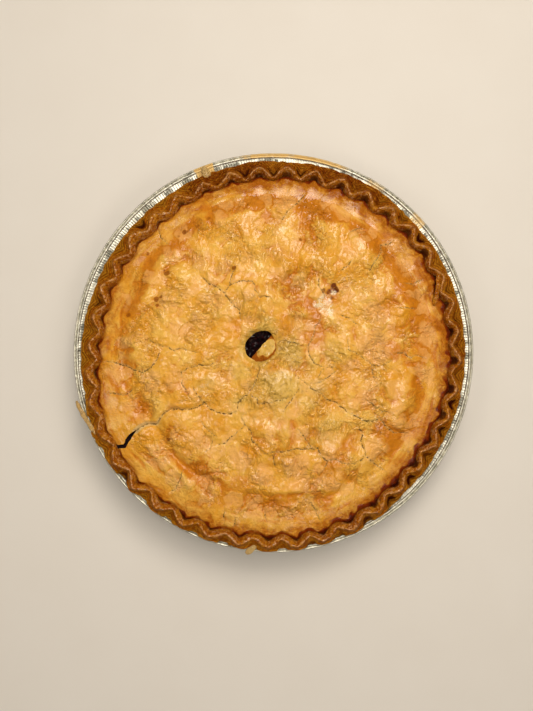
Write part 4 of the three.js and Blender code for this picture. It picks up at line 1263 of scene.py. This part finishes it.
def fillingFinish():
    f = Finish("blueberry_filling", Specular_IOR_Level=0.05, Coat_Roughness=0.1)
    mottled, fine = f.noise(2.2, 3, 0.6), f.noise(0.7, 3, 0.6)
    f.colour = f.mix(mottled.rise(0.45, 0.75), (12, 2, 4), (44, 12, 14))
    glints = f.noise(1.5).rise(0.55, 0.62)
    return f.finish(Roughness=(0.45 + fine * 0.2).within(), Coat_Weight=glints,
                    Normal=f.bump(mottled * 0.6 + fine * 0.5, 0.6))


def floorFinish():
    f = Finish("pale_floor", Roughness=0.6)
    f.colour = f.mix(f.noise(40), (222, 214, 202), (226, 219, 208))
    return f.finish()


def wear(piece, material):
    piece.data.materials.clear()
    piece.data.materials.append(material)


lidPiece = makeLid()
cutBy(lidPiece, ventCutter())
cutBy(lidPiece, splitPrism("split_cutter", 0, 29, 49))
paintLid(lidPiece)
choose(lidPiece)
bpy.ops.object.shade_smooth_by_angle(angle=math.radians(55))
print("lid made:", len(lidPiece.data.polygons), "faces")
rimPiece = makeRim()
flapPiece = makeFlap()
strandPieces = [makeStrand(index, *strand) for index, strand in enumerate(strands)]
tinPiece = makeTin()
berryPiece = makeBerries()
juicePiece = splitPrism("split_juice", 0.25, split["bottom"], split["juiceTop"])
makeOuter(juicePiece)
print("rim, flap, strands, tin and berries made")

lidLook, rimLook, foilLook, fillingLook = lidFinish(), rimFinish(), foilFinish(), fillingFinish()
for piece, look in ((lidPiece, lidLook), (flapPiece, lidLook), (rimPiece, rimLook), (tinPiece, foilLook),
                    (berryPiece, fillingLook), (juicePiece, fillingLook),
                    (frame["nodes"]["bottom_crust"], rimLook), (frame["nodes"]["filling"], fillingLook)):
    wear(piece, look)
for piece in strandPieces:
    wear(piece, rimLook)
for piece in [lidPiece, rimPiece, flapPiece] + strandPieces:
    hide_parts("top_crust")
    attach(piece, "root")
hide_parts("foil_tin", "foil_flange")
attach(tinPiece, "root")
for piece in (berryPiece, juicePiece):
    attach(piece, "root")

bpy.ops.object.select_all(action="DESELECT")
bpy.ops.mesh.primitive_plane_add(size=6, location=(0, 0, 0))
floor = namePiece("pale_floor")
wear(floor, floorFinish())

lamps = {  # place and size in metres, power in watts; the ceiling doesn't show in gloss
    "ceiling": ((0.1, 0.1, 1.15), 1.3, 0.5),
    "top": ((0.03, 0.12, 1.1), 0.4, 2.5),
    "main": ((0.14, 0.5, 0.85), 0.42, 4.8),
    "rightBack": ((0.5, 0.3, 0.8), 0.2, 0.4),
    "right": ((0.5, -0.14, 0.85), 0.35, 0.7),
    "near": ((0.18, -0.5, 0.85), 0.3, 0.9),
    "left": ((-0.5, -0.15, 0.8), 0.25, 0.7),
    "leftBack": ((-0.35, 0.4, 0.85), 0.2, 0.5),
}
for name, (place, size, power) in lamps.items():
    bpy.ops.object.light_add(type="AREA", location=place)
    light = bpy.context.object
    light.name = f"lamp_{name}"
    light.data.size, light.data.energy, light.data.color = size, power, (1.0, 0.93, 0.84)
    light.visible_glossy = name != "ceiling"
    light.rotation_euler = (Vector((0, 0, 0.03)) - light.location).to_track_quat("-Z", "Y").to_euler()
world = bpy.data.worlds.new("soft_room")
bpy.context.scene.world = world
world.use_nodes = True
world.node_tree.nodes["Background"].inputs[0].default_value = (1.0, 0.97, 0.93, 1)
world.node_tree.nodes["Background"].inputs[1].default_value = 0.14
bpy.context.scene.view_settings.view_transform = "Standard"
print("floor and lamps placed")
